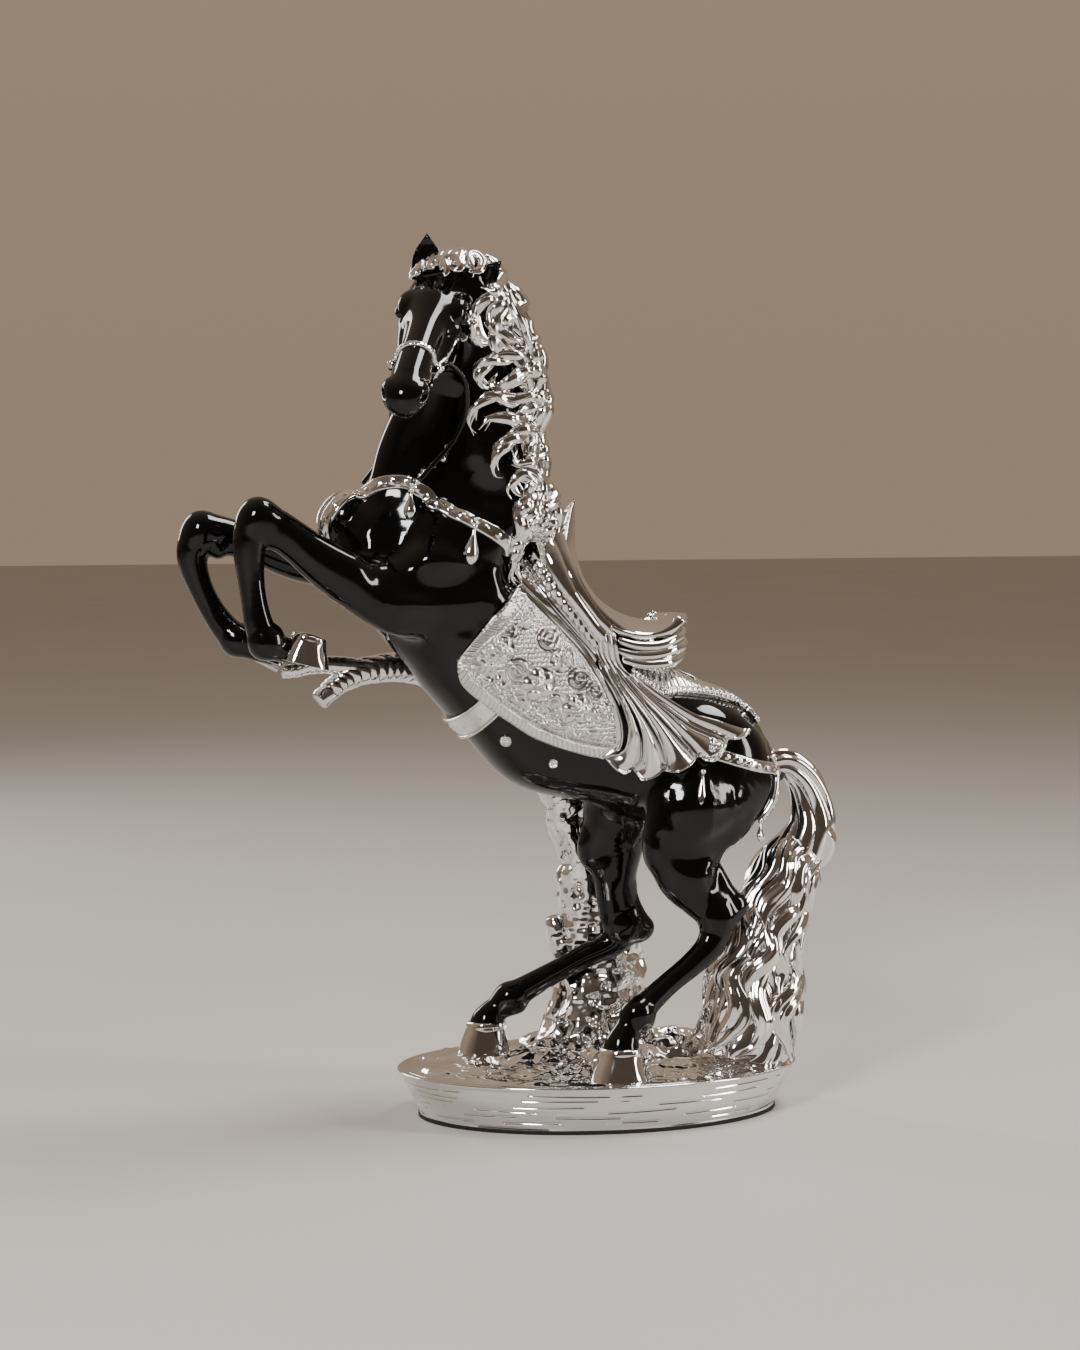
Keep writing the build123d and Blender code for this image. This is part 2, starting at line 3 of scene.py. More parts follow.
import bmesh
import bpy
import numpy as np
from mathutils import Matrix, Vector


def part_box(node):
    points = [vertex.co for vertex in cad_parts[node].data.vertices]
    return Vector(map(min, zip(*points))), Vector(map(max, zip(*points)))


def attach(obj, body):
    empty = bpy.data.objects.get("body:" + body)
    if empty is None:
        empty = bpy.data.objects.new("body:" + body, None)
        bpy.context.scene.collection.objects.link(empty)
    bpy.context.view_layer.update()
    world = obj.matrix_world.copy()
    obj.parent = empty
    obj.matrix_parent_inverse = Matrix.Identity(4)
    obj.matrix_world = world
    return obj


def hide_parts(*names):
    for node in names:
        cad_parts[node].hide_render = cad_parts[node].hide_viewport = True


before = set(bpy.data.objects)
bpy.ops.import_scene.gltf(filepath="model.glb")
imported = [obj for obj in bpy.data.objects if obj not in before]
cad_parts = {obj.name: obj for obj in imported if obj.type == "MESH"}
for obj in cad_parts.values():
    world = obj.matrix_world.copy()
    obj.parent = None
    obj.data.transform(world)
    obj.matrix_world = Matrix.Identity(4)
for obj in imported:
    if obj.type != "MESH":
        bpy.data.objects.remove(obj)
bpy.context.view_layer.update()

import openvdb
from mathutils import Vector

# A rearing horse statue: the black body is one smooth field, cut into its castings, and the silver
# tack, hair, tree and base are built round it. Lengths are millimetres until a mesh is made.
MM = 0.001
VOXEL = 1.5
HEAD_VOXEL = 0.75
random = np.random.default_rng(7)


def mm_box(node):
    """A CAD node's lowest and highest corners, in millimetres."""
    low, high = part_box(node)
    return np.array(low) * 1000.0, np.array(high) * 1000.0


TORSO_LOW, TORSO_HIGH = mm_box("torso")
MID = (TORSO_LOW[1] + TORSO_HIGH[1]) / 2
BASE_LOW, BASE_HIGH = mm_box("base_plinth")
BASE_TOP = BASE_HIGH[2]


# ---- vectors, curves and noise ----
def unit(vectors):
    vectors = np.asarray(vectors, float)
    return vectors / np.maximum(np.linalg.norm(vectors, axis=-1, keepdims=True), 1e-9)


def catmull(a, b, c, d, t):
    """The Catmull-Rom curve from b to c."""
    return 0.5 * (2 * b + (c - a) * t + (2 * a - 5 * b + 4 * c - d) * t ** 2
                  + (3 * b - a - 3 * c + d) * t ** 3)


def smooth_rows(rows, spacing):
    """Catmull-Rom through rows of numbers; the first three columns are a position."""
    rows = np.asarray(rows, float)
    padded = np.vstack([2 * rows[0] - rows[1], rows, 2 * rows[-1] - rows[-2]])
    out = []
    for i in range(1, len(padded) - 2):
        a, b, c, d = padded[i - 1:i + 3]
        steps = max(1, int(math.ceil(np.linalg.norm(c[:3] - b[:3]) / spacing)))
        out.append(catmull(a, b, c, d, (np.arange(steps) / steps)[:, None]))
    out.append(rows[-1:])
    return np.vstack(out)


def run_along(points):
    """Length of a polyline up to each of its points."""
    return np.concatenate([[0], np.cumsum(np.linalg.norm(np.diff(points, axis=0), axis=1))])


def evenly(points, count):
    """A polyline resampled to count points at equal steps of length."""
    points = np.asarray(points, float)
    run = run_along(points[:, :3])
    want = np.linspace(0, run[-1], count)
    return np.stack([np.interp(want, run, points[:, k]) for k in range(points.shape[1])], 1)


def sampled(grid, at_r, at_c):
    """Cubic samples of a lattice at fractional rows and columns."""
    for axis, at in ((0, at_r), (1, at_c)):
        g = np.moveaxis(grid, axis, 0)
        g = np.concatenate([2 * g[:1] - g[1:2], g, 2 * g[-1:] - g[-2:-1]])
        i = np.minimum(at.astype(int), len(g) - 4)
        t = (at - i)[(...,) + (None,) * (g.ndim - 1)]
        grid = np.moveaxis(catmull(g[i], g[i + 1], g[i + 2], g[i + 3], t), 0, axis)
    return grid


def refine(grid, rows, cols):
    """A lattice of points made finer."""
    return sampled(grid, np.linspace(0, grid.shape[0] - 1, rows), np.linspace(0, grid.shape[1] - 1, cols))


def full_turn(count):
    return np.linspace(0, 2 * math.pi, count, endpoint=False)


def square_to(vectors, heading):
    """Unit vectors with their share along heading taken away."""
    return unit(vectors - heading * np.einsum("ij,ij->i", vectors, heading)[:, None])


def hump(x, middle, width):
    """A smooth rise to 1 about the middle."""
    return np.exp(-((x - middle) / width) ** 2)


def ease(x, low=0.0, high=1.0):
    """A smooth step from 0 at low to 1 at high."""
    t = np.clip((x - low) / (high - low), 0, 1)
    return t * t * (3 - 2 * t)


def lattice(ix, iy, iz, seed):
    """A scrambled number from -1 to 1 for each corner of a cubic lattice."""
    h = (ix * 374761393 + iy * 668265263 + iz * 2147483647 + seed * 144269) & 0xFFFFFFFF
    h = ((h ^ (h >> 13)) * 1274126177) & 0xFFFFFFFF
    return ((h ^ (h >> 16)) & 0xFFFF) / 32767.5 - 1.0


def noise(points, size, seed=0):
    """Smooth value noise from -1 to 1 with features of the given size."""
    q = np.asarray(points, float) / size
    base = np.floor(q).astype(np.int64)
    f = q - base
    f = f * f * (3 - 2 * f)
    total = 0.0
    for corner in np.ndindex(2, 2, 2):
        wx, wy, wz = (f[..., k] if corner[k] else 1 - f[..., k] for k in range(3))
        total = total + wx * wy * wz * lattice(*(base[..., k] + corner[k] for k in range(3)), seed)
    return total


# ---- signed distance shapes ----
def smooth_min(a, b, k):
    h = np.maximum(k - np.abs(a - b), 0.0) / k
    return np.minimum(a, b) - h * h * k * 0.25


class Blob:
    """An ellipsoid; axes are three unit rows that its radii run along."""

    def __init__(self, centre, radii, axes=None, blend=6.0, cut=False):
        self.centre = np.asarray(centre, float)
        self.radii = np.asarray(radii, float)
        self.axes = np.eye(3) if axes is None else np.asarray(axes, float)
        self.blend, self.cut = blend, cut
        reach = max(radii) + blend + 6
        self.low, self.high = self.centre - reach, self.centre + reach

    def distance(self, p):
        q = (p - self.centre) @ self.axes.T
        k0 = np.linalg.norm(q / self.radii, axis=1)
        k1 = np.linalg.norm(q / self.radii ** 2, axis=1)
        return k0 * (k0 - 1) / np.maximum(k1, 1e-6)


class Tube:
    """A smooth limb through stations (x, y, z, half width, half depth), round at both ends."""

    def __init__(self, stations, across=(0, 1, 0), spacing=5.0, blend=8.0, cut=False):
        rows = smooth_rows(stations, spacing)
        self.c, self.r = rows[:, :3], np.maximum(rows[:, 3:5], 0.3)
        heading = unit(np.gradient(self.c, axis=0))
        self.heading = heading
        self.start = np.einsum("ij,ij->i", self.c, heading)
        across = np.asarray(across, float)
        self.side = unit(across - heading * (heading @ across)[:, None])
        self.deep = np.cross(heading, self.side)
        self.blend, self.cut = blend, cut
        reach = self.r.max() + blend + 6
        self.low, self.high = self.c.min(0) - reach, self.c.max(0) + reach

    def distance(self, p):
        """Slices the limb by planes at its stations, so each point meets the one section it lies on."""
        ahead = p @ self.heading.T - self.start
        best = np.full(len(p), 1e3)
        count = len(self.c) - 1
        for i in range(-1, count + 1):
            if i < 0:
                here = np.nonzero(ahead[:, 0] < 0)[0]
            elif i == count:
                here = np.nonzero(ahead[:, count] >= 0)[0]
            else:
                here = np.nonzero((ahead[:, i] >= 0) & (ahead[:, i + 1] < 0))[0]
            if len(here) == 0:
                continue
            if 0 <= i < count:
                t = (ahead[here, i] / (ahead[here, i] - ahead[here, i + 1]))[:, None]
                k, n, z = i, i + 1, 0.0
            else:
                k = n = max(i, 0)
                t = np.zeros((len(here), 1))
                z = ahead[here, k]
            q = p[here] - self.c[k] - t * (self.c[n] - self.c[k])
            x = np.einsum("ij,ij->i", q, self.side[k] + t * (self.side[n] - self.side[k]))
            y = np.einsum("ij,ij->i", q, self.deep[k] + t * (self.deep[n] - self.deep[k]))
            w, d = (self.r[k] + t * (self.r[n] - self.r[k])).T
            e = np.minimum(w, d)
            k0 = np.sqrt((x / w) ** 2 + (y / d) ** 2 + (z / e) ** 2)
            k1 = np.sqrt((x / w ** 2) ** 2 + (y / d ** 2) ** 2 + (z / e ** 2) ** 2)
            best[here] = np.minimum(best[here], k0 * (k0 - 1) / np.maximum(k1, 1e-6))
        return best


class Field:
    """Shapes joined in order by smooth unions and smooth cuts."""

    def __init__(self, shapes):
        self.shapes = shapes
        solid = [s for s in shapes if not s.cut]
        self.low = np.min([s.low + s.blend for s in solid], axis=0)
        self.high = np.max([s.high - s.blend for s in solid], axis=0)

    def distance(self, p):
        out = np.full(len(p), 60.0)
        for shape in self.shapes:
            near = np.nonzero(np.all((p > shape.low) & (p < shape.high), axis=1))[0]
            if len(near) == 0:
                continue
            d = shape.distance(p[near])
            if shape.cut:
                out[near] = -smooth_min(-out[near], d, shape.blend)
            else:
                out[near] = smooth_min(out[near], d, shape.blend)
        return out

    def gradient(self, p, step=0.25):
        corners = np.array([(1, -1, -1), (-1, -1, 1), (-1, 1, -1), (1, 1, 1)], float)
        total = np.zeros_like(p)
        for corner in corners:
            total += corner * self.distance(p + corner * step)[:, None]
        return total / (4 * step)

    def normals(self, p):
        return unit(self.gradient(p))

    def settle(self, p, lift=0.0, rounds=3, most=2.0):
        """Moves points along the field until they lie lift outside the surface."""
        p = np.array(p, float)
        lift = np.broadcast_to(lift, (len(p),))
        for _ in range(rounds):
            g = self.gradient(p)
            size = np.maximum(np.einsum("ij,ij->i", g, g), 0.2)
            move = -((self.distance(p) - lift) / size)[:, None] * g
            length = np.linalg.norm(move, axis=1, keepdims=True)
            p += move * np.minimum(1, most / np.maximum(length, 1e-9))
        return p

    def reach(self, start, direction, lift=0.0, rounds=40):
        """Walks rays from outside until they meet the surface plus lift."""
        start, direction = np.array(start, float), unit(direction)
        travelled = np.zeros(len(start))
        for _ in range(rounds):
            gap = self.distance(start + direction * travelled[:, None]) - lift
            travelled += gap * 0.8
        return start + direction * travelled[:, None]


# how many points of a field are worked out at once
BATCH = 200000


def normals_on(field, grid):
    """A field's outward directions at a lattice of points."""
    return field.normals(grid.reshape(-1, 3)).reshape(grid.shape)


def surface_of(field, voxel, low=None, high=None):
    """Vertices and quads of a field's surface, evaluated only near it, and settled exactly on it."""
    coarse = 4
    low = field.low - 3 * voxel if low is None else low
    high = field.high if high is None else high
    cells = np.ceil((high - low) / (voxel * coarse)).astype(int) + 2
    axes = [low[k] + (np.arange(cells[k]) + 0.5) * voxel * coarse for k in range(3)]
    grid = np.stack(np.meshgrid(*axes, indexing="ij"), -1).reshape(-1, 3)
    batches = np.array_split(grid, max(1, len(grid) // BATCH))
    value = np.concatenate([field.distance(part) for part in batches])
    reach = voxel * coarse * 1.6
    dense = np.repeat(np.repeat(np.repeat(np.where(value > 0, reach, -reach).reshape(cells), coarse, 0),
                                coarse, 1), coarse, 2).astype(np.float32)
    near = np.argwhere(np.abs(value).reshape(cells) < reach)
    offsets = np.stack(np.meshgrid(*[np.arange(coarse)] * 3, indexing="ij"), -1).reshape(-1, 3)
    index = (near[:, None, :] * coarse + offsets[None]).reshape(-1, 3)
    for part in np.array_split(index, max(1, len(index) // BATCH)):
        dense[part[:, 0], part[:, 1], part[:, 2]] = field.distance(low + (part + 0.5) * voxel)
    volume = openvdb.FloatGrid(float(reach))
    volume.copyFromArray(dense)
    points, quads = volume.convertToQuads(0.0)
    points = field.settle(low + (points + 0.5) * voxel, most=voxel)
    normals = field.normals(points)
    a, b, c = points[quads[:, 0]], points[quads[:, 1]], points[quads[:, 2]]
    if np.einsum("ij,ij->i", np.cross(b - a, c - a), normals[quads[:, 0]]).sum() < 0:
        quads = quads[:, ::-1]
    return points, quads.astype(np.int64)


# ---- meshes ----
def link(name, mesh):
    piece = bpy.data.objects.new(name, mesh)
    bpy.context.scene.collection.objects.link(piece)
    return piece


class Shape:
    """Gathers lattices of points into one mesh."""

    def __init__(self):
        self.points, self.quads, self.tris, self.count = [], [], [], 0

    def add(self, points, quads):
        points = np.asarray(points, float).reshape(-1, 3)
        self.quads.append(quads + self.count)
        self.points.append(points)
        self.count += len(points)

    def sheet(self, grid, wrap=False):
        rows, cols = grid.shape[:2]
        r, c = np.meshgrid(np.arange(rows - 1), np.arange(cols if wrap else cols - 1), indexing="ij")
        n = (c + 1) % cols
        quads = np.stack([r * cols + c, r * cols + n, (r + 1) * cols + n, (r + 1) * cols + c], -1)
        self.add(grid, quads.reshape(-1, 4))

    def tube(self, grid):
        """A closed tube: each row is a ring, and both ends are fanned shut."""
        rows, cols = grid.shape[:2]
        ring = self.count + np.arange(cols)
        self.sheet(grid, wrap=True)
        last = ring + (rows - 1) * cols
        for rim, middle in ((ring, grid[0].mean(0)), (last, grid[-1].mean(0))):
            self.tris.append(np.stack([rim, np.roll(rim, -1), np.full(cols, self.count)], 1))
            self.points.append(middle[None])
            self.count += 1

    def slab(self, top, bottom):
        """A closed sheet between two lattices of the same size."""
        rows, cols = top.shape[:2]
        start = self.count
        self.sheet(top)
        self.sheet(bottom[:, ::-1])
        rim = ([(0, c) for c in range(cols)] + [(r, cols - 1) for r in range(1, rows)]
               + [(rows - 1, c) for c in range(cols - 2, -1, -1)] + [(r, 0) for r in range(rows - 2, 0, -1)])
        rim = np.array(rim)
        above = start + rim[:, 0] * cols + rim[:, 1]
        below = start + rows * cols + rim[:, 0] * cols + (cols - 1 - rim[:, 1])
        self.quads.append(np.stack([above, below, np.roll(below, -1), np.roll(above, -1)], 1))

    def piece(self, name):
        points = np.vstack(self.points) * MM
        quads = np.vstack(self.quads)
        tris = np.vstack(self.tris) if self.tris else np.zeros((0, 3), int)
        corners = np.concatenate([quads.ravel(), tris.ravel()])
        mesh = bpy.data.meshes.new(name)
        mesh.vertices.add(len(points))
        mesh.vertices.foreach_set("co", points.ravel())
        mesh.loops.add(len(corners))
        mesh.loops.foreach_set("vertex_index", corners.astype(np.int32))
        mesh.polygons.add(len(quads) + len(tris))
        starts = np.concatenate([np.arange(len(quads)) * 4, len(quads) * 4 + np.arange(len(tris)) * 3])
        mesh.polygons.foreach_set("loop_start", starts.astype(np.int32))
        mesh.update(calc_edges=True)
        mesh.validate()
        mesh.polygons.foreach_set("use_smooth", [True] * len(mesh.polygons))
        turn_outward(mesh)
        return link(name, mesh)


def turn_outward(mesh):
    bm = bmesh.new()
    bm.from_mesh(mesh)
    bmesh.ops.recalc_face_normals(bm, faces=bm.faces)
    bm.to_mesh(mesh)
    bm.free()
    mesh.update()


def finish_piece(piece, material, slot, *nodes):
    """Gives a piece its finish, hangs it on the root body, and hides the CAD nodes that it stands for."""
    piece.data.materials.clear()
    piece.data.materials.append(material)
    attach(piece, "root")
    if nodes:
        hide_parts(*nodes)


# ---- the horse's skeleton: limbs are rows of x, y, z, half width across y, and half depth ----
# the torso and the belly lie in the middle plane, so their rows leave y out
TORSO = [(109, 203, 8, 8), (101, 204, 20, 20), (90, 205, 30, 33), (68, 208, 37, 43), (34, 220, 38.5, 44),
         (0, 238, 39.5, 43), (-34, 256, 41, 44), (-65, 281, 40, 45), (-93, 308, 37, 44), (-120, 331, 32, 38),
         (-142, 348, 25, 28), (-155, 358, 14, 16)]
BELLY = [(-92, 266, 26, 14), (-68, 238, 28, 17), (-46, 218, 29, 20), (-20, 208, 28, 18), (6, 203, 24, 13)]
NECK = [(-92, -5, 322, 27, 26), (-92, -5, 340, 29, 37), (-91, -6, 360, 28, 43), (-90, -8, 384, 25, 44),
        (-87, -11, 410, 22, 41), (-84, -15, 436, 19.5, 34), (-82, -18, 461, 17.5, 27),
        (-84, -21, 482, 16, 21),
        (-88, -22, 494, 15, 16)]
LEFT_FORE = [
    [(-92, -22, 320, 13, 27), (-112, -31, 315, 15, 25), (-130, -36, 313, 14.5, 22),
     (-148, -38, 318, 12.5, 18),
     (-166, -39, 328, 11, 14.5), (-184, -39.5, 340, 10, 12), (-202, -40, 353, 9.6, 11),
     (-213, -40, 359, 9.6, 10.5)],
    [(-212, -40, 360, 9.8, 10.4), (-217.5, -40, 350, 9.4, 10.2), (-218.5, -40, 338, 8.4, 9),
     (-217.5, -40, 324, 7, 7.6),
     (-215.5, -40, 310, 6.8, 7.4), (-213, -40, 298, 7.6, 8.4), (-209.5, -40, 288, 8.4, 9)],
    [(-209.5, -40, 288, 8, 8.6), (-201, -40, 284, 6.6, 7), (-192, -40, 283, 7.4, 7.8)],
]
RIGHT_FORE = [
    [(-90, 12, 326, 12, 24), (-112, 22, 328, 13.5, 22.5), (-134, 27, 331, 12.5, 19.5),
     (-158, 28, 333, 11, 15.5),
     (-182, 28, 337, 10, 12.8), (-206, 28, 343, 9.4, 11), (-226, 28, 349, 9.4, 10.6),
     (-235, 28, 350, 9.4, 10.4)],
    [(-234, 28, 351, 9.4, 10.2), (-239.5, 28, 342, 9, 9.8), (-240, 28, 331, 8, 8.6),
     (-235.5, 27.5, 317, 6.8, 7.2),
     (-229, 27, 304, 6.7, 7.2), (-221.5, 25.5, 293, 7.6, 8.2), (-215, 24, 286, 8.2, 8.6)],
    [(-215, 24, 286, 7.8, 8.2), (-206, 23, 281, 6.4, 6.8), (-197, 22, 279, 7.2, 7.4)],
]
LEFT_HIND = [
    [(74, -18, 216, 13, 28), (64, -27, 203, 17, 34), (54, -33, 188, 17.5, 35), (45, -37, 171, 15, 28),
     (41, -38, 155, 12, 20.5), (43, -38, 143, 10, 16), (51, -38, 133, 8.8, 13), (60, -39, 124, 8.6, 11.6),
     (64, -39, 119, 8.4, 10)],
    [(65, -39, 122, 8.4, 10.5), (62, -40.5, 112, 8.2, 10.2), (56, -43, 102, 7.4, 8.6),
     (44, -46, 92.5, 6.6, 7.2),
     (30, -50, 83.5, 6.4, 6.8), (18, -54, 75, 6.8, 7.4), (8, -57, 67, 8, 8.8)],
    [(8, -57, 67, 7.8, 8.4), (2, -58.5, 59, 7.6, 8), (-2, -59.5, 51, 9.6, 10.2), (-3, -60, 45, 11, 11.5)],
]
RIGHT_HIND = [
    [(46, 6, 210, 13, 26), (34, 14, 197, 16, 30), (25, 20, 181, 16.5, 29), (19, 26, 163, 14, 21),
     (18, 28, 148, 11, 16.5), (18.5, 29.5, 136, 9.6, 13), (19.5, 31.5, 125, 8.8, 11.3),
     (21.5, 33, 114, 8.6, 11.5),
     (25, 33, 107, 8.4, 11)],
    [(28, 33, 109, 8.2, 10), (25, 33.5, 101, 8, 9.8), (17, 34.5, 94, 7.2, 8.4), (2, 36, 87.5, 6.6, 7.4),
     (-14, 37.5, 79.5, 6.4, 7), (-30, 39.5, 71, 7, 7.6), (-44, 41, 63, 8.2, 9)],
    [(-44, 41, 63, 8, 8.6), (-52, 41.5, 56.5, 7.4, 8), (-57.5, 42, 50.5, 9.2, 9.8), (-59, 42, 45, 10.6, 11)],
]

# the head's own directions: along the face to the muzzle, to the horse's right, and out of the face
POLL = np.array([-99.2, -18.4, 507])
ALONG = unit([-0.37, -0.69, -0.63])
LEVEL_RIGHT = unit(np.cross(ALONG, [0, 0, 1]))
ROLL = math.radians(8)
RIGHT = math.cos(ROLL) * LEVEL_RIGHT + math.sin(ROLL) * np.cross(LEVEL_RIGHT, ALONG)
FACE = unit(np.cross(RIGHT, ALONG))
# how much longer the head is than the distances along it say
HEAD_STRETCH = 1.07


def on_head(along, below, right=0.0):
    return POLL + ALONG * along * HEAD_STRETCH - FACE * below + RIGHT * right


def head_blob(along, below, right, radii, blend=5.0, cut=False, turn=0.0):
    """An ellipsoid in the head; radii run across, along and through it; turn yaws it in the face's plane."""
    c, s = math.cos(turn), math.sin(turn)
    axes = np.array([c * RIGHT + s * ALONG, -s * RIGHT + c * ALONG, FACE])
    return Blob(on_head(along, below, right), radii, axes, blend, cut)


def head_tube(rows, blend=4.0, cut=False, spacing=3.0):
    return Tube([(*on_head(a, b, r), w, d) for a, b, r, w, d in rows], RIGHT, spacing, blend, cut)


def slanted(direction, up=(0, 1, 0)):
    """Axes for an ellipsoid whose first radius runs along direction."""
    first = unit(direction)
    third = unit(np.cross(first, up))
    return np.array([first, np.cross(third, first), third])


def head_shapes():
    shapes = [
        head_tube([(-3, 19, 0, 13, 15), (12, 20, 0, 16.5, 19), (30, 20.5, 0, 17.5, 21),
                   (46, 18.5, 0, 15.5, 18),
                   (62, 15.5, 0, 13.6, 14.5), (78, 13, 0, 12.4, 12), (92, 12.5, 0, 11.6, 11.2),
                   (105, 13, 0, 10.8, 10)], blend=10),
        head_blob(8, 17, 0, (18, 19, 16)),
        head_blob(26, 10, 0, (17.5, 21, 8), 7),
        head_tube([(30, 7.5, 0, 7, 6), (60, 6, 0, 5.5, 5), (92, 6.5, 0, 5, 4.5)], 7),
        head_blob(103, 11.5, 0, (11.6, 11, 10), 6),
        head_blob(100, 22, 0, (7.5, 10, 5.5), 4),
        head_blob(92, 23.5, 0, (6, 7, 4.5), 4),
    ]
    for side in (-1, 1):
        shapes += [
            head_blob(25, 29, side * 11.5, (7, 19, 15), 7),
            head_blob(30, 9.5, side * 15.5, (5.5, 9.5, 6.5), 4),
            head_blob(33, 13.5, side * 20.5, (4.2, 6.2, 5.2), 2.5, cut=True),
            head_tube([(40, 16, side * 15.5, 2.6, 2.6), (58, 16.5, side * 12.2, 2.0, 2.0),
                       (66, 16.5, side * 10.8, 1.2, 1.2)], 4),
            head_blob(66, 10, side * 13.6, (3.2, 16, 3.6), 5, cut=True),
            head_blob(44, 28, side * 16, (3, 9, 7), 5, cut=True),
            head_blob(104, 8.5, side * 8.2, (4.6, 7.5, 5), 3.5, turn=side * 0.35),
            head_blob(107, 8.5, side * 11.6, (2.6, 4.8, 2.2), 1.6, cut=True, turn=side * 0.5),
            head_tube([(90, 19, side * 10.5, 0.9, 0.7), (100, 18, side * 10.2, 0.9, 0.7),
                       (109, 17.2, side * 7, 0.9, 0.7), (114, 16.8, 0, 0.9, 0.7)], 1.2, cut=True),
        ]
    return shapes


def torso_shapes():
    shapes = [Tube([(x, MID, z, w, d) for x, z, w, d in TORSO], blend=10), Tube(NECK, blend=16),
              Tube([(x, MID, z, w, d) for x, z, w, d in BELLY], blend=14)]
    for side in (-1, 1):
        def at(x, out, z):
            return x, MID + side * out, z
        shapes += [
            Blob(at(-138, 14, 331), (17, 12.5, 12), slanted((0.45, 0, 1)), 8),
            Blob(at(-100, 26, 336), (37, 13, 19), slanted((-0.85, 0.06 * side, -0.5)), 9),
            Blob(at(-86, 30, 312), (22, 11, 17), slanted((0.9, 0, -0.5)), 7),
            Blob(at(-120, 30, 322), (15, 10, 14), None, 7),
            Blob(at(-72, 25, 350), (30, 9, 11), slanted((0.3, 0, 0.95)), 12),
            Blob(at(66, 24, 214), (28, 15, 27), slanted((0.8, 0, -0.5)), 9),
            Blob(at(89, 16, 196), (20, 13, 15), slanted((-0.35, 0, 1)), 8),
            Blob(at(10, 43, 203), (16, 6, 11), slanted((-0.5, 0, 0.85)), 12, cut=True),
            Blob(at(-118, 13, 300), (20, 9, 7), slanted((0.8, 0, -0.6)), 7),
        ]
    # throat line, windpipe and the groove beside it
    shapes += [
        Tube([(-133, -8, 372, 9, 9), (-128, -10, 396, 8.5, 8.5), (-118, -16, 420, 8, 8),
              (-108, -22, 444, 8, 8),
              (-102, -30, 460, 9, 9)], blend=10),
        Tube([(-112, -34, 372, 3, 6), (-108, -33, 400, 3, 5), (-100, -34, 428, 3, 5)], blend=9, cut=True),
        Tube([(-60, -33, 356, 6, 12), (-70, -32, 392, 6, 12), (-74, -31, 424, 5, 10)], blend=12),
    ]
    return shapes


# how far out a ray starts on its way to the body
RAY_START = 110.0


def along_flank(bed, points, flank, radius, lift, blend, cut):
    """A long ridge or crease that follows one flank of the body through (x, z) points."""
    line = evenly(smooth_rows([(x, 0, z) for x, z in points], 2.0), 14)
    start = line * np.array([1, 0, 1]) + np.array([0, MID + flank * RAY_START, 0])
    hit = bed.reach(start, np.broadcast_to([0.0, -flank, 0.0], start.shape), lift)
    # rays that slip past this flank would carry the ridge through to the far side
    hit = hit[(np.abs(bed.distance(hit) - lift) < 1.5) & ((hit[:, 1] - MID) * flank > 8)]
    size = radius * np.sin(math.pi * np.linspace(0.12, 0.88, len(hit)))
    return Tube([(*h, r, r) for h, r in zip(hit, size)], (0, 1, 0), 4.0, blend, cut)


# (x, z) along the flank, radius and lift, for the hollows and the muscles of the shoulder
CREASES = [([(-133, 360), (-136, 338), (-143, 310)], 11.0, 8.2),
           ([(-134, 323), (-108, 318), (-84, 321)], 9.0, 6.0),
           ([(-136, 297), (-110, 296), (-88, 302)], 9.0, 6.6),
           ([(-88, 384), (-76, 368), (-70, 352)], 11.0, 8.6)]
BULGES = [([(-130, 309), (-106, 306), (-84, 311)], 9.0, -6.2),
          ([(-120, 342), (-100, 350), (-84, 350)], 14.0, -10.6),
          ([(-124, 335), (-106, 331), (-92, 333)], 11.0, -8.2)]
THIGH = [(34, 186), (48, 187), (68, 188)]
THIGH_FOLD = [(22, 168), (32, 160), (44, 157), (56, 159), (68, 165), (82, 177)]


def leg_shapes(runs, knee, fetlock, extras):
    """A leg's three runs, its two joints as ellipsoids, and what is particular to it."""
    shapes = [Tube(runs[0], blend=11), Tube(runs[1], blend=4), Tube(runs[2], blend=4)]
    shapes += [Blob(*knee, blend=5), Blob(*fetlock, blend=4)]
    return shapes + extras


def fore_leg(runs, knee, fetlock, y, belly, elbow):
    kx, _, kz = knee
    fx, _, fz = fetlock
    near_x, _, near_z = runs[0][3][:3]
    far_x, _, far_z = runs[0][5][:3]
    extras = [
        Blob((kx + 9, y, kz - 10), (4.5, 6.5, 5.5), None, 5),
        Blob((kx - 3, y, kz + 1), (10, 8.6, 7.5), slanted((0.4, 0, 1)), 5),
        Blob((fx + 5.5, y, fz + 4), (4.2, 5.4, 6), None, 4),
        Blob(belly, (24, 8, 10), slanted((far_x - near_x, 0, far_z - near_z)), 9),
        Blob(elbow, (17, 9, 12), slanted((0.95, 0, -0.25)), 9),
    ]
    return leg_shapes(runs, (knee, (10.6, 10, 11)), (fetlock, (9, 8.6, 9)), extras)


def hind_leg(runs, hock, fetlock, point, tendon_top, tendon, y_top):
    hx, hy, hz = hock
    fx, fy, fz = fetlock
    stifle = runs[0][4]
    extras = [
        Blob(point, (7.5, 4.6, 5), slanted((0.7, 0, 1)), 5),
        Tube([(*tendon_top, tendon, tendon + 2), (*point, tendon + 0.3, tendon + 1.4)], blend=8),
        Blob((fx + 6, fy, fz - 3), (4.5, 5.5, 5), None, 4),
        Blob((stifle[0] - 13, y_top, stifle[2] + 10), (15, 10, 9), slanted((0.3, 0, 1)), 8),
        Blob((stifle[0] + 4, y_top + math.copysign(6, y_top), stifle[2] + 2), (19, 6, 11),
             slanted((-0.2, 0, 1)), 8),
        Blob((hx - 4, hy - 6, hz - 1), (6, 3, 7), None, 4),
    ]
    return leg_shapes(runs, (hock, (10, 8.8, 10)), (fetlock, (9, 8.6, 9)), extras)


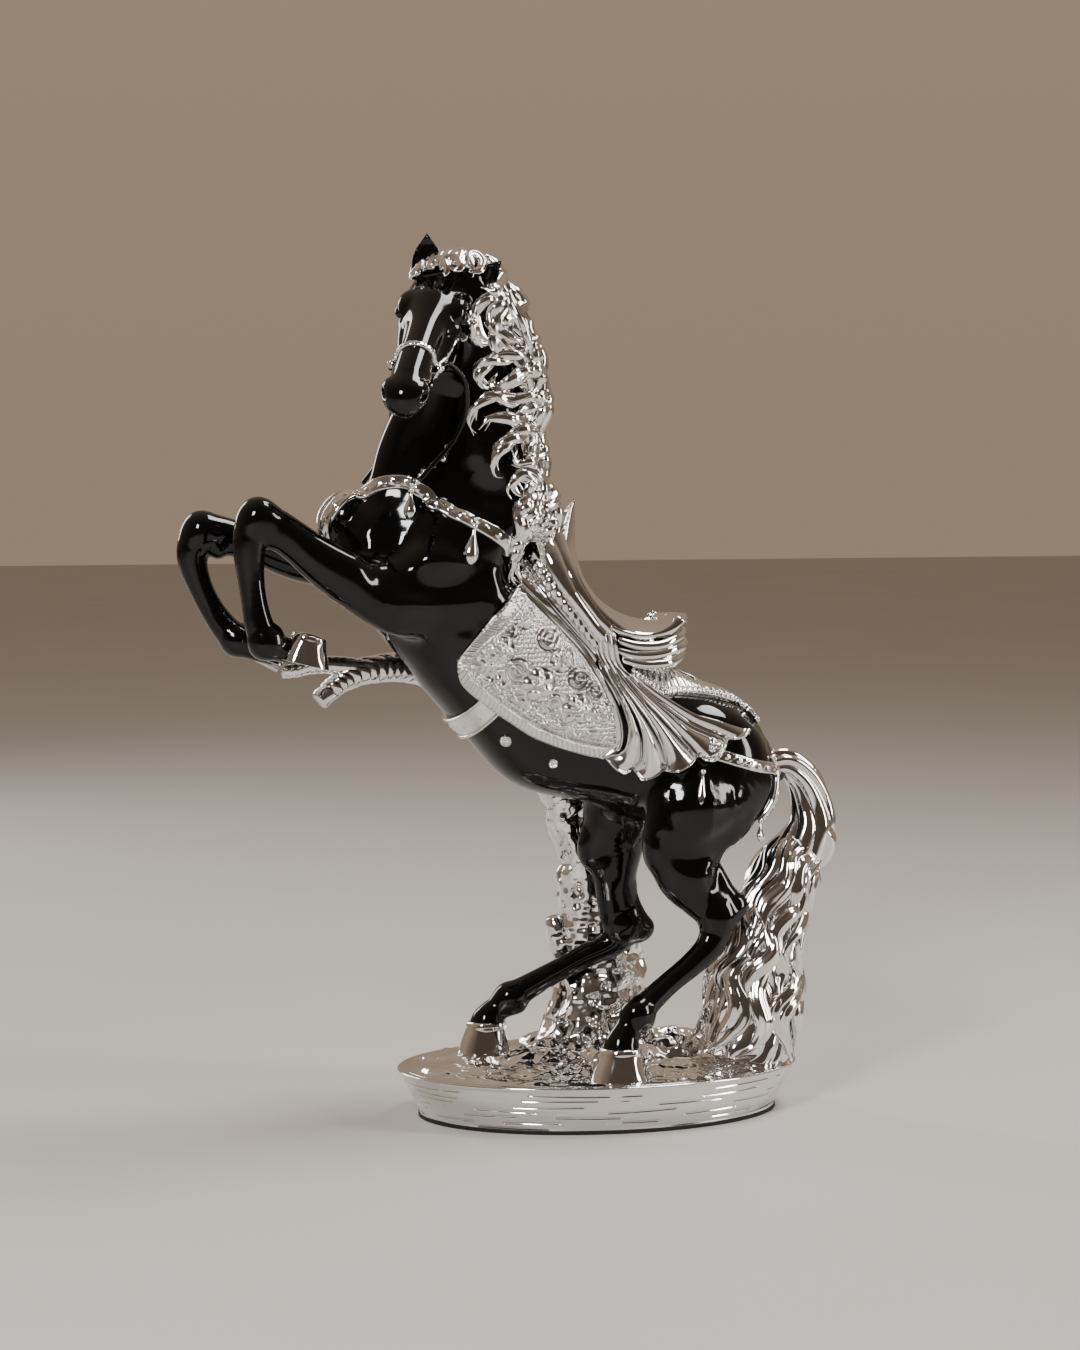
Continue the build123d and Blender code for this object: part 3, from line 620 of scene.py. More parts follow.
def horse_field():
    shapes = torso_shapes()
    shapes += fore_leg(LEFT_FORE, (-213, -40, 358), (-209, -40, 287.5), -40,
                       belly=(-166, -41, 326), elbow=(-128, -38, 306))
    shapes += fore_leg(RIGHT_FORE, (-234, 28, 349), (-214.5, 24, 285.5), 28,
                       belly=(-172, 29, 331), elbow=(-136, 27, 320))
    shapes += hind_leg(LEFT_HIND, (63, -39, 119), (7, -57, 66), point=(75, -38, 125),
                       tendon_top=(60, -37, 150), tendon=3.5, y_top=-37)
    shapes += hind_leg(RIGHT_HIND, (27, 33, 106), (-45, 41, 62), point=(38.5, 33, 102.5),
                       tendon_top=(28, 31, 128), tendon=2.2, y_top=28)
    bed = Field(shapes)
    for flank in (-1, 1):
        shapes = shapes + [along_flank(bed, points, flank, r, lift, 9, False) for points, r, lift in BULGES]
        shapes = shapes + [along_flank(bed, points, flank, r, lift, 12, True) for points, r, lift in CREASES]
        shift = np.array([0, 0] if flank < 0 else [-26, -5])
        shapes = shapes + [along_flank(bed, np.array(THIGH) + shift, flank, 17.0, -13.5, 12, False),
                           along_flank(bed, np.array(THIGH_FOLD) + shift, flank, 9.0, 6.0, 9, True)]
    return Field(shapes + head_shapes())


horse = horse_field()


# ---- cutting the body into its castings ----
def half_space(point, normal):
    return np.asarray(point, float), unit(normal)


CASTINGS = [
    ("neck", (-250, -120, 330), (0, 80, 600), [half_space((-110, 0, 365), (0.5, 0.05, 0.866))]),
    ("left_foreleg", (-300, -100, 240), (-112, MID - 12, 420),
     [half_space((-117, 0, 310), (-1, 0, -0.15)), half_space((0, MID - 19, 0), (0, -1, 0)),
      half_space((-120, 0, 345), (-0.5, 0, -0.86))]),
    ("right_foreleg", (-300, MID + 12, 240), (-112, 100, 420),
     [half_space((-117, 0, 310), (-1, 0, -0.15)), half_space((0, MID + 19, 0), (0, 1, 0)),
      half_space((-120, 0, 350), (-0.3, 0, -0.95))]),
    ("left_hindleg", (-150, -120, 0), (150, 20, 200),
     [half_space((50, 0, 178), (-0.1, 0, -1)), half_space((0, MID, 0), (0, -1, 0))]),
    ("right_hindleg", (-150, -20, 0), (150, 120, 200),
     [half_space((50, 0, 178), (-0.1, 0, -1)), half_space((0, MID, 0), (0, 1, 0))]),
    ("torso", (-300, -200, 0), (300, 200, 600), []),
]
HEAD_WALL = half_space(on_head(4, 42), unit(ALONG * 0.8 + FACE * 0.62))


def close_holes(bm):
    """Fans each open rim to its middle, and returns the new faces."""
    caps = []
    rim = dict.fromkeys(e for e in bm.edges if len(e.link_faces) == 1)
    while rim:
        edge = next(iter(rim))
        del rim[edge]
        loop = [edge.verts[0], edge.verts[1]]
        edges = [edge]
        while loop[-1] is not loop[0]:
            onward = [e for e in loop[-1].link_edges if e in rim]
            if not onward:
                break
            del rim[onward[0]]
            edges.append(onward[0])
            loop.append(onward[0].other_vert(loop[-1]))
        middle = bm.verts.new(sum((v.co for v in loop[:-1]), loop[0].co * 0) / max(1, len(loop) - 1))
        for e in edges:
            face_loop = e.link_loops[0]
            a, b = face_loop.vert, face_loop.link_loop_next.vert
            caps.append(bm.faces.new((b, a, middle)))
    return caps


def mesh_of(points, quads):
    whole = bmesh.new()
    verts = [whole.verts.new(p) for p in points]
    for quad in quads:
        corners = [verts[i] for i in quad]
        if len(set(corners)) == 4:
            whole.faces.new(corners)
    return whole


def take(whole, walls, low, high):
    """Moves the faces inside a box and beyond some planes out of a mesh into a new one."""
    def near(face):
        middle = np.array(face.calc_center_median())
        return bool(np.all((middle > low) & (middle < high)))
    for point, normal in walls:
        faces = [f for f in whole.faces if near(f)]
        edges = dict.fromkeys(e for f in faces for e in f.edges)
        verts = dict.fromkeys(v for f in faces for v in f.verts)
        bmesh.ops.bisect_plane(whole, geom=[*verts, *edges, *faces], plane_co=point, plane_no=normal,
                               dist=1e-4)
    inside = [f for f in whole.faces if near(f) and
              all((np.array(f.calc_center_median()) - point) @ normal > 0 for point, normal in walls)]
    part, seen = bmesh.new(), {}
    for face in inside:
        corners = []
        for v in face.verts:
            if v not in seen:
                seen[v] = part.verts.new(v.co)
            corners.append(seen[v])
        part.faces.new(corners)
    bmesh.ops.delete(whole, geom=inside, context="FACES")
    return part


def finish_casting(name, part):
    """Closes a casting where it was cut, keeping the field's own normals so that no seam shows."""
    skin = len(part.faces)
    close_holes(part)
    mesh = bpy.data.meshes.new(name)
    part.to_mesh(mesh)
    part.free()
    co = np.empty(len(mesh.vertices) * 3)
    mesh.vertices.foreach_get("co", co)
    co = co.reshape(-1, 3)
    normals = horse.normals(co)
    corner_vertex = np.empty(len(mesh.loops), int)
    mesh.loops.foreach_get("vertex_index", corner_vertex)
    corner_normals = normals[corner_vertex]
    for face in mesh.polygons:
        face.use_smooth = True
        if face.index >= skin:
            corner_normals[list(face.loop_indices)] = face.normal
    mesh.vertices.foreach_set("co", (co * MM).ravel())
    mesh.normals_split_custom_set(corner_normals.tolist())
    mesh.update()
    return link("black_" + name, mesh)


def cast_horse():
    """The body's castings; the head comes from a finer lattice."""
    made = {}
    head_low, head_high = np.array([-170.0, -125, 405]), np.array([-50.0, 20, 540])
    fine = mesh_of(*surface_of(horse, HEAD_VOXEL, head_low - 12, head_high + 12))
    made["head"] = finish_casting("head", take(fine, [HEAD_WALL], head_low, head_high))
    fine.free()
    body = mesh_of(*surface_of(horse, VOXEL))
    take(body, [HEAD_WALL], head_low, head_high).free()
    for name, low, high, walls in CASTINGS:
        made[name] = finish_casting(name, take(body, walls, low, high))
    body.free()
    return made


# ---- materials: every value is set on a socket, and all texture is noise ----
def new_material(name, colour, metallic, rough):
    made = bpy.data.materials.new(name)
    made.use_nodes = True
    nodes, links = made.node_tree.nodes, made.node_tree.links
    shader = nodes["Principled BSDF"]
    shader.inputs["Base Color"].default_value = (*colour, 1)
    shader.inputs["Metallic"].default_value = metallic
    shader.inputs["Roughness"].default_value = rough
    return made, nodes, links, shader


def add_noise(nodes, links, scale, detail=3.0):
    place = nodes.new("ShaderNodeTexCoord")
    grain = nodes.new("ShaderNodeTexNoise")
    grain.inputs["Scale"].default_value = scale
    grain.inputs["Detail"].default_value = detail
    links.new(place.outputs["Object"], grain.inputs["Vector"])
    return grain


def vary(nodes, links, grain, socket, low, high):
    spread = nodes.new("ShaderNodeMapRange")
    spread.inputs["From Min"].default_value = 0.3
    spread.inputs["From Max"].default_value = 0.7
    spread.inputs["To Min"].default_value = low
    spread.inputs["To Max"].default_value = high
    links.new(grain.outputs["Fac"], spread.inputs["Value"])
    links.new(spread.outputs["Result"], socket)


def add_bump(nodes, links, grain, shader, strength, depth):
    bump = nodes.new("ShaderNodeBump")
    bump.inputs["Strength"].default_value = strength
    bump.inputs["Distance"].default_value = depth
    links.new(grain.outputs["Fac"], bump.inputs["Height"])
    links.new(bump.outputs["Normal"], shader.inputs["Normal"])


def lacquer(name, colour, low, high, ripple):
    made, nodes, links, shader = new_material(name, colour, 0.0, low)
    shader.inputs["IOR"].default_value = 1.42
    vary(nodes, links, add_noise(nodes, links, 60.0), shader.inputs["Roughness"], low, high)
    add_bump(nodes, links, add_noise(nodes, links, 26.0, 1.0), shader, ripple, 0.0006)
    return made


def plating(name, colour, low, high, ripple, scale=110.0):
    made, nodes, links, shader = new_material(name, colour, 1.0, low)
    vary(nodes, links, add_noise(nodes, links, scale), shader.inputs["Roughness"], low, high)
    add_bump(nodes, links, add_noise(nodes, links, scale * 0.6, 2.0), shader, ripple, 0.0005)
    return made


def felt(name, colour):
    made, nodes, links, shader = new_material(name, colour, 0.0, 0.95)
    fibre = add_noise(nodes, links, 900.0, 6.0)
    vary(nodes, links, fibre, shader.inputs["Roughness"], 0.85, 1.0)
    add_bump(nodes, links, fibre, shader, 0.6, 0.0008)
    return made


def paint(name, colour):
    made, nodes, links, shader = new_material(name, colour, 0.0, 0.6)
    vary(nodes, links, add_noise(nodes, links, 4.0), shader.inputs["Roughness"], 0.55, 0.65)
    return made


SILVER = (0.82, 0.81, 0.8)
BLACK = lacquer("black_lacquer", (0.002, 0.002, 0.0022), 0.05, 0.1, 0.06)
EYE = lacquer("eye_gloss", (0.004, 0.003, 0.003), 0.02, 0.05, 0.01)
PLATE_BASE = plating("plated_base", SILVER, 0.06, 0.13, 0.12)
PLATE_BARK = plating("plated_bark", SILVER, 0.07, 0.15, 0.25)
PLATE_HAIR = plating("plated_hair", SILVER, 0.05, 0.12, 0.1)
PLATE_HOOF = plating("plated_hoof", SILVER, 0.05, 0.1, 0.05)
PLATE_SADDLE = plating("plated_saddle", SILVER, 0.03, 0.07, 0.03)
PLATE_CLOTH = plating("plated_cloth", SILVER, 0.07, 0.14, 0.1)
PLATE_TACK = plating("plated_tack", SILVER, 0.06, 0.13, 0.1)
ZINC = plating("zinc_steel", (0.62, 0.63, 0.65), 0.25, 0.38, 0.1, 300.0)
FELT = felt("black_felt", (0.012, 0.012, 0.012))


# ---- limbs, locks and ribbons ----
def frames_of(path, across):
    """Unit side and outward rows along a path, the side kept near across."""
    heading = unit(np.gradient(path, axis=0))
    across = np.broadcast_to(np.asarray(across, float), path.shape)
    side = unit(across - heading * np.einsum("ij,ij->i", heading, across)[:, None])
    return side, np.cross(heading, side)


def limb_grid(stations, around, spacing, roughen=None, across=(0, 1, 0)):
    """Rings round a limb; roughen(points, turn, run) pushes them outward in millimetres."""
    rows = smooth_rows(stations, spacing)
    side, deep = frames_of(rows[:, :3], across)
    turn = full_turn(around)
    c, s = np.cos(turn)[None, :, None], np.sin(turn)[None, :, None]
    wide, far = rows[:, 3][:, None, None], rows[:, 4][:, None, None]
    grid = rows[:, None, :3] + side[:, None] * c * wide + deep[:, None] * s * far
    if roughen is not None:
        outward = unit(side[:, None] * c / wide + deep[:, None] * s / far)
        run = run_along(rows[:, :3])
        grid = grid + outward * roughen(grid, turn[None, :], run[:, None])[..., None]
    return grid


def lock(shape, path, out, wide, thick, ridges=3, lean=0.0, around=22, tip=0.06, root=0.35):
    """One lock of hair: a tapering strand with ridges along it, flat against out."""
    count = len(path)
    t = np.linspace(0, 1, count)[:, None]
    heading = unit(np.gradient(path, axis=0))
    out = square_to(out, heading)
    side = np.cross(heading, out)
    angle = full_turn(around)[None]
    taper = (root + (1 - root) * ease(t, 0, 0.25)) * (tip + (1 - tip) * (1 - ease(t, 0.55, 1.0)) ** 0.8)
    x = np.cos(angle)
    comb = 1 + 0.2 * np.cos(math.pi * ridges * x + lean * t * 6) - 0.12
    y = np.sin(angle) * comb
    shape.tube(path[:, None] + side[:, None] * (x * wide * taper)[..., None]
               + out[:, None] * (y * thick * taper)[..., None])


# how deep a strap's back is sunk into what it lies on
STRAP_ROOT = 2.5


def ribbon(shape, path, out, width, thick, height, across=9):
    """A strap along a path on a surface; height(run, offset) raises its face, and its back is sunk."""
    heading = unit(np.gradient(path, axis=0))
    out = square_to(out, heading)
    side = np.cross(heading, out)
    offset = np.linspace(-1, 1, across)
    run = run_along(path)
    rise = thick * (1 - np.abs(offset[None]) ** 6 * 0.55) + height(run[:, None], offset[None])
    flat = path[:, None] + side[:, None] * (offset[None] * width / 2)[..., None]
    shape.slab(flat + out[:, None] * rise[..., None], flat - out[:, None] * STRAP_ROOT)


def bead(shape, centre, out, radii, around=14, rows=8, along=(0, 0, 1)):
    """A small dome-topped bead; radii run across, along and out."""
    out = unit(out)
    heading = unit(np.asarray(along, float) - out * (np.asarray(along, float) @ out))
    side = np.cross(out, heading)
    lat = np.linspace(-math.pi / 2 + 0.15, math.pi / 2 - 0.15, rows)[:, None]
    lon = full_turn(around)[None]
    grid = (np.asarray(centre) + (np.cos(lat) * np.cos(lon))[..., None] * side * radii[0]
            + (np.cos(lat) * np.sin(lon))[..., None] * heading * radii[1]
            + (np.sin(lat) * np.ones_like(lon))[..., None] * out * radii[2])
    shape.tube(grid)


def teardrop(shape, top, out, length, width, thick, down):
    """A hanging drop: a thin neck, a round belly, and a ridge down its face."""
    t = np.linspace(0, 1, 26)
    path = np.asarray(top) + np.asarray(down)[None] * (t * length)[:, None]
    out = unit(np.asarray(out) - unit(down) * (np.asarray(out) @ unit(down)))
    side = np.cross(unit(down), out)
    belly = 0.22 + 0.78 * np.sin(math.pi * np.clip((t - 0.12) / 0.88, 0, 1) ** 1.7) ** 0.9
    belly[-1] = 0.08
    angle = full_turn(20)
    fold = 1 + 0.18 * np.cos(2 * angle) ** 2
    shape.tube(path[:, None] + side * (np.cos(angle)[None] * belly[:, None] * width / 2)[..., None]
               + out * (np.sin(angle)[None] * fold[None] * belly[:, None] * thick / 2)[..., None])


# ---- base, ground and tree ----
def ellipse_ring(half_x, half_y, turn):
    return np.stack([half_x * np.cos(turn), half_y * np.sin(turn), np.zeros_like(turn)], -1)


# the lines cut round the base: how many, the lowest one's height, and their spacing
LINES, FIRST_LINE, LINE_PITCH = 6, 4.5, 3.5


def engraved(arc, z):
    """Depth of the broken lines cut along the base's wall at height z, as arc runs round it."""
    depth = np.zeros(np.broadcast(arc, z).shape)
    for row in range(LINES):
        level = FIRST_LINE + row * LINE_PITCH
        near = np.exp(-((z - level - 0.5 * np.sin(arc / 23 + row * 1.7)) / 0.5) ** 2)
        beat = np.sin(arc / (9.5 + row * 1.3) + row * 2.1) + 0.6 * np.sin(arc / 4.1 + row * 5.3)
        depth = depth + near * ease(beat, -0.3, 0.2)
    return depth


def make_base():
    around = 1500
    turn = full_turn(around)[None]
    half_x, half_y = (BASE_HIGH[0] - BASE_LOW[0]) / 2, (BASE_HIGH[1] - BASE_LOW[1]) / 2
    foot_z = BASE_LOW[2]
    z = np.concatenate([[foot_z, foot_z + 0.4], np.linspace(foot_z + 1.2, BASE_TOP - 3.4, 64),
                        [BASE_TOP - 2.6, BASE_TOP - 1.4, BASE_TOP - 0.5, BASE_TOP]])[:, None]
    share = (z - foot_z) / (BASE_TOP - foot_z)
    flare = 1 - 0.1 * (1 - share) ** 1.25
    arc = turn * (half_x + half_y) / 2
    facets = 0.7 * np.abs(np.sin(arc / 31 + 0.8)) + 0.5 * np.abs(np.sin(arc / 47 + 2))
    inset = engraved(arc, z - foot_z) * 0.75 + facets * np.clip(1.2 * (1 - share), 0, 1)
    lip = 1.3 * ease(share, 0.9, 0.95) * (1 - ease(share, 0.985, 1.0) * 0.6) - 1.3
    push = lip - inset * (share > 0.03) * (share < 0.9)
    outer = ellipse_ring(half_x, half_y, turn) * flare[..., None]
    outward = unit(np.stack([np.cos(turn) / half_x, np.sin(turn) / half_y, np.zeros_like(turn)], -1))
    wall = outer + outward * push[..., None] + np.array([0, 0, 1]) * z[..., None]
    land = [wall[-1] * np.array([k, k, 1]) for k in (0.985, 0.97, 0.8, 0.5, 0.2)]
    under = []
    for k, height in ((0.93, foot_z), (0.92, foot_z + 3), (0.93, BASE_TOP - 6.5), (0.6, BASE_TOP - 6.5),
                      (0.2, BASE_TOP - 6.5)):
        ring = wall[0] * np.array([k, k, 0]) + np.array([0, 0, height])
        under.insert(0, ring)
    shape = Shape()
    shape.tube(np.vstack([np.array(under), wall, np.array(land)]))
    finish_piece(shape.piece("cast_base"), PLATE_BASE, "plated_base", "base_plinth")


# each rock's middle, and its half length, half width and height
ROCKS = [((-92, -14), (22, 16, 5)), ((-40, -38), (26, 16, 6)), ((-36, 4), (30, 22, 10)), ((14, 0),
         (28, 20, 13)),
         ((48, 14), (26, 20, 16)), ((-88, 24), (16, 13, 5)), ((-6, 60), (26, 14, 12)), ((62, 46),
         (22, 15, 12)),
         ((98, 14), (13, 14, 7)), ((-66, -34), (14, 11, 4)), ((30, 30), (24, 18, 18)), ((-20, 30),
         (22, 16, 13)),
         ((-60, 50), (14, 10, 5)), ((42, -30), (24, 14, 5))]
# where the ground is flat under a hoof, and how far out
HOOF_SPOTS = [((-4, -61), 17), ((-60, 42), 17)]


def ground_height(x, y):
    """Height of the rough ground above the base's top."""
    flat = np.stack([x, y, np.zeros_like(x)], -1)
    height = 1.6 + 1.1 * noise(flat, 17, 3) + 1.0 * np.abs(noise(flat, 8, 5)) + 0.5 * noise(flat, 3.6, 6)
    for (cx, cy), (rx, ry, top) in ROCKS:
        skew = noise(flat, 11, 11) * 3.5
        r2 = ((x - cx + skew) / rx) ** 2 + ((y - cy - skew) / ry) ** 2
        crest = top * np.sqrt(np.clip(1 - r2, 0, 1)) * (0.86 + 0.2 * noise(flat, 5.5, 12))
        height = np.maximum(height, crest + 0.6 * np.abs(noise(flat, 4.2, 14)))
    for (cx, cy), r in HOOF_SPOTS:
        height *= 0.12 + 0.88 * ease(np.hypot(x - cx, y - cy), r * 0.8, r * 1.5)
    return height


def make_ground():
    half_x, half_y = BASE_HIGH[0] - 4.5, BASE_HIGH[1] - 4.5
    around, rows = ((760, 270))
    turn = full_turn(around)[None]
    share = np.linspace(0.004, 1, rows)[:, None]
    top = ellipse_ring(half_x, half_y, turn) * share[..., None]
    height = ground_height(top[..., 0], top[..., 1]) * (1 - ease(share, 0.93, 1.0)) + 0.05
    # overhanging creases: rock faces lean sideways by a smooth swirl
    swirl = np.stack([noise(top, 9, 21), noise(top, 9, 22), np.zeros(top.shape[:2])], -1)
    top = top + swirl * (1.6 * ease(height, 2, 10) * (1 - ease(share, 0.9, 1)))[..., None]
    top[..., 2] = BASE_TOP + height
    shape = Shape()
    shape.tube(np.vstack([top, (top[-1] - np.array([0, 0, 0.6]))[None],
                          (top[-1] * np.array([0.2, 0.2, 0]) + np.array([0, 0, BASE_TOP - 0.5]))[None]]))
    finish_piece(shape.piece("cast_ground"), PLATE_BASE, "plated_base", "ground_rocks")


TRUNK = [(14, 50, 27, 27, 42), (15, 52, 40, 24, 34), (17, 54, 60, 21, 29), (17, 56, 84, 18.5, 26),
         (16, 56, 112, 16.5, 23), (8, 53, 144, 14, 19), (-2, 50, 168, 12.5, 15), (-10, 49, 186, 11.5, 12)]
BRANCH = [(-2, 49, 176, 11, 11), (-10, 49, 186, 11.5, 12), (-22, 54, 206, 11, 11), (-41, 55, 227, 10.5, 10.5),
          (-65, 49, 247, 9.6, 9.8), (-90, 38, 261, 9, 9.2), (-113, 27, 268, 8.2, 8.6),
          (-138, 19, 267, 7.6, 8),
          (-152, 16, 262, 6.6, 7), (-163, 14, 254, 5.6, 5.6), (-168, 13, 250, 5.2, 5.4)]
TINE = [(-138, 17, 268, 5, 5.5), (-152, 16, 270, 5.4, 5.6), (-168, 14, 271, 4.8, 5),
        (-182, 13, 269, 4.4, 4.8),
        (-190, 12, 268, 4, 4.6)]
SNAG = [(12, 55, 66, 14, 15), (0, 56, 80, 11, 12), (-7, 56, 93, 8, 8.5), (-11, 55, 103, 6, 6),
        (-13, 55, 110, 3.6, 3.4)]


def bark(grid, _turn, _run):
    """Hammered, upright folds with hollows between them."""
    stretched = grid * np.array([1, 1, 0.55])
    folds = 1 - np.abs(noise(stretched, 9, 31)) * 2
    pits = ease(noise(grid, 7.5, 32), 0.25, 0.75)
    return 2.0 * folds - 3.4 * pits + 0.8 * noise(grid, 3.6, 33) + 1.2 * noise(stretched, 17, 34)


def rings(grid, turn, run):
    """Wrinkles round a branch, uneven along it."""
    pitch = 5.2 + 1.2 * noise(grid, 30, 41)
    wave = np.abs(np.sin(math.pi * (run + 1.8 * np.sin(turn + run / 17)) / pitch))
    return 0.9 * wave ** 0.6 - 0.5 + 0.5 * noise(grid, 5, 42)


ROOT_TOES = [(-22, 44), (-6, 24), (42, 34), (52, 56), (20, 72)]


def make_tree():
    around = 180
    trunk = Shape()
    trunk.tube(limb_grid(TRUNK, around, 0.8, bark))
    trunk.tube(limb_grid(SNAG, around // 2, 0.8, lambda g, t, r: 0.5 * bark(g, t, r)))
    for x, y in ROOT_TOES:
        toe = np.array([x, y, BASE_TOP + 2.0])
        root = [(*(toe + (np.array([14, 50, BASE_TOP + h]) - toe) * k), 3 + 7 * k, 3 + 8 * k)
                for k, h in ((0, 2), (0.3, 9), (0.6, 22), (0.85, 40))]
        trunk.tube(limb_grid(root, around // 3, 1.6, lambda g, t, r: 0.4 * bark(g, t, r)))
    finish_piece(trunk.piece("bark_trunk"), PLATE_BARK, "plated_bark", "tree_trunk")
    branch = Shape()
    branch.tube(limb_grid(BRANCH, 72, 0.7, rings))
    finish_piece(branch.piece("bark_branch"), PLATE_BARK, "plated_bark", "tree_branch")
    stub = Shape()
    stub.tube(limb_grid(TINE, 48, 0.7, lambda g, t, r: 0.5 * rings(g, t, r)))
    finish_piece(stub.piece("bark_stub"), PLATE_BARK, "plated_bark", "branch_stub")


# ---- hooves, ears and eyes ----
# name, top and its radius, sole and its half width and length, the way down, and whether it is lifted
HOOVES = [
    ("left_fore_hoof", (-184, -40, 291), 9.4, (-187, -40, 275), (12, 15.5), (-0.25, 0, -1), True),
    ("right_fore_hoof", (-187, 22, 286), 9.2, (-191, 22, 271), (11, 14), (-0.35, 0, -1), True),
    ("left_hind_hoof", (-3, -60, 47), 12, (-4, -61, 29.3), (15, 17.5), (0, 0, -1), False),
    ("right_hind_hoof", (-59, 42, 48), 11.6, (-60, 42, 29.3), (14, 17), (0, 0, -1), False),
]


def make_hoof(name, top, top_r, sole, half, down, lifted):
    """A flared hoof: coronet band, ridged wall with a cleft heel, and a dished sole with its frog."""
    top, sole, down = np.array(top, float), np.array(sole, float), unit(down)
    front = unit(np.array([-1.0, 0, 0]) - down * (np.array([-1.0, 0, 0]) @ down))
    right = np.cross(down, front)
    turn = full_turn(96)[None]
    t = np.concatenate([np.linspace(-0.12, 0.2, 12), np.linspace(0.24, 0.96, 20), [0.985, 1.0]])[:, None]
    share = ease(t, -0.1, 1.0) * 0.35 + np.clip(t, 0, 1) * 0.65
    centre = top + (sole - top) * t[..., None]
    long = top_r + (half[1] - top_r) * share
    wide = top_r * 0.96 + (half[0] - top_r * 0.96) * share
    grain = np.stack([turn * 3 + 0 * t, t * 2 + 0 * turn, 0 * t * turn], -1)
    cuff = 0.35 * hump(t, 0.06, 0.08) + 0.35 * noise(grain, 1.0, 71)
    heel = 1 - 0.1 * np.exp(-((turn - math.pi) / 0.28) ** 2) * ease(t, 0.1, 0.5)
    shut = 1 - 0.6 * ease(-t, 0.04, 0.12)
    grid = (centre + front * (np.cos(turn) * (long + cuff) * heel * shut)[..., None]
            + right * (np.sin(turn) * (wide + cuff) * shut)[..., None])
    dish = []
    for k, deep in ((0.9, -0.1), (0.84, 0.5), (0.72, 1.2), (0.5, 1.6), (0.3, 1.3), (0.12, 1.0)):
        ring = sole + (grid[-1] - sole) * k
        frog = 1.0 * np.exp(-(turn[0] - math.pi) ** 2 / 0.25) * (k < 0.8)
        dish.append(ring - down * (deep - frog)[:, None] * (1 if lifted else 0.2))
    shape = Shape()
    shape.tube(np.vstack([grid, np.array(dish)]))
    finish_piece(shape.piece("plated_" + name), PLATE_HOOF, "plated_hoof", name)


# how far an ear reaches into the head
EAR_ROOT = 4


def make_ear(name, root, tip, wide, deep, face):
    """A pricked ear: a leaf-shaped shell with its hollow toward face."""
    root, tip = np.array(root, float), np.array(tip, float)
    rise = unit(tip - root)
    face = unit(np.array(face, float) - rise * (np.array(face) @ rise))
    across = np.cross(rise, face)
    length = np.linalg.norm(tip - root)
    t = np.linspace(0, 1, 50)[:, None]
    turn = full_turn(60)[None]
    belly = 0.66 + 0.42 * np.sin(math.pi * np.clip(t * 1.1, 0, 1) ** 0.9)
    leaf = belly * np.clip(1 - ease(t, 0.4, 1.0) ** 2.2, 0, 1) ** 0.5 + 0.02
    x = np.cos(turn) * wide * leaf
    y = np.sin(turn) * deep * leaf
    inside = ease(np.sin(turn), 0.15, 0.7)
    hollow = ease(t, 0.08, 0.3) * (1 - ease(t, 0.8, 0.98))
    y = y - inside * deep * leaf * 1.35 * hollow * (1 - (np.cos(turn)) ** 2 * 0.4)
    grid = (root - rise * EAR_ROOT + rise * (t * (length + EAR_ROOT))[..., None]
            + across * x[..., None] + face * y[..., None])
    shape = Shape()
    shape.tube(grid)
    piece = shape.piece("black_" + name)
    finish_piece(piece, BLACK, "black_lacquer", name)


def make_eyes():
    shape = Shape()
    for side in (-1, 1):
        shape_centre = on_head(33, 11.5, side * 17.6)
        bead(shape, shape_centre, RIGHT * side, (4.4, 5.4, 4.2), 40, 24, ALONG)
    finish_piece(shape.piece("glossy_eyes"), EYE, "eye_gloss", "eyes")


# ---- hair ----
MANE = [(-82, -22, 503, 8, 7), (-71, -22, 491, 12, 9), (-62, -21, 472, 13, 10), (-54, -21, 450, 13, 10),
        (-50, -20, 428, 12, 10), (-52, -19, 404, 11, 9), (-49, -18, 380, 12, 10), (-42, -16, 360, 13, 10),
        (-37, -12, 342, 11, 8), (-33, -10, 330, 8, 5)]
hair_bed = Field(horse.shapes + [Tube(MANE, blend=9)])


def comb_over(shape, points, flank, wide, thick, lift, wave=1.6, waves=2.2, phase=0.0, steps=56, ridges=3):
    """Lays one lock over the hair bed through (x, z) points, seen from one flank (-1 near, +1 far)."""
    line = evenly(smooth_rows([(x, 0, z) for x, z in points], 1.5), steps)
    heading = unit(np.gradient(line, axis=0))
    t = np.linspace(0, 1, steps)
    sway = wave * np.sin(2 * math.pi * waves * t + phase) * ease(t, 0.0, 0.2)
    line = line + np.stack([heading[:, 2], 0 * t, -heading[:, 0]], 1) * sway[:, None]
    guess = line + np.array([0, MID - 12 + flank * 22, 0])
    rise = lift * (0.6 + 0.4 * np.sin(2 * math.pi * waves * t + phase + 1.2))
    rise = rise * np.sin(math.pi * (0.12 + 0.8 * t)) ** 0.6
    path = hair_bed.settle(guess, rise, rounds=14, most=3.0)
    for _ in range(3):
        path[1:-1] = (path[:-2] + 2 * path[1:-1] + path[2:]) / 4
    lock(shape, path, hair_bed.normals(path), wide, thick, ridges, lean=0.6)


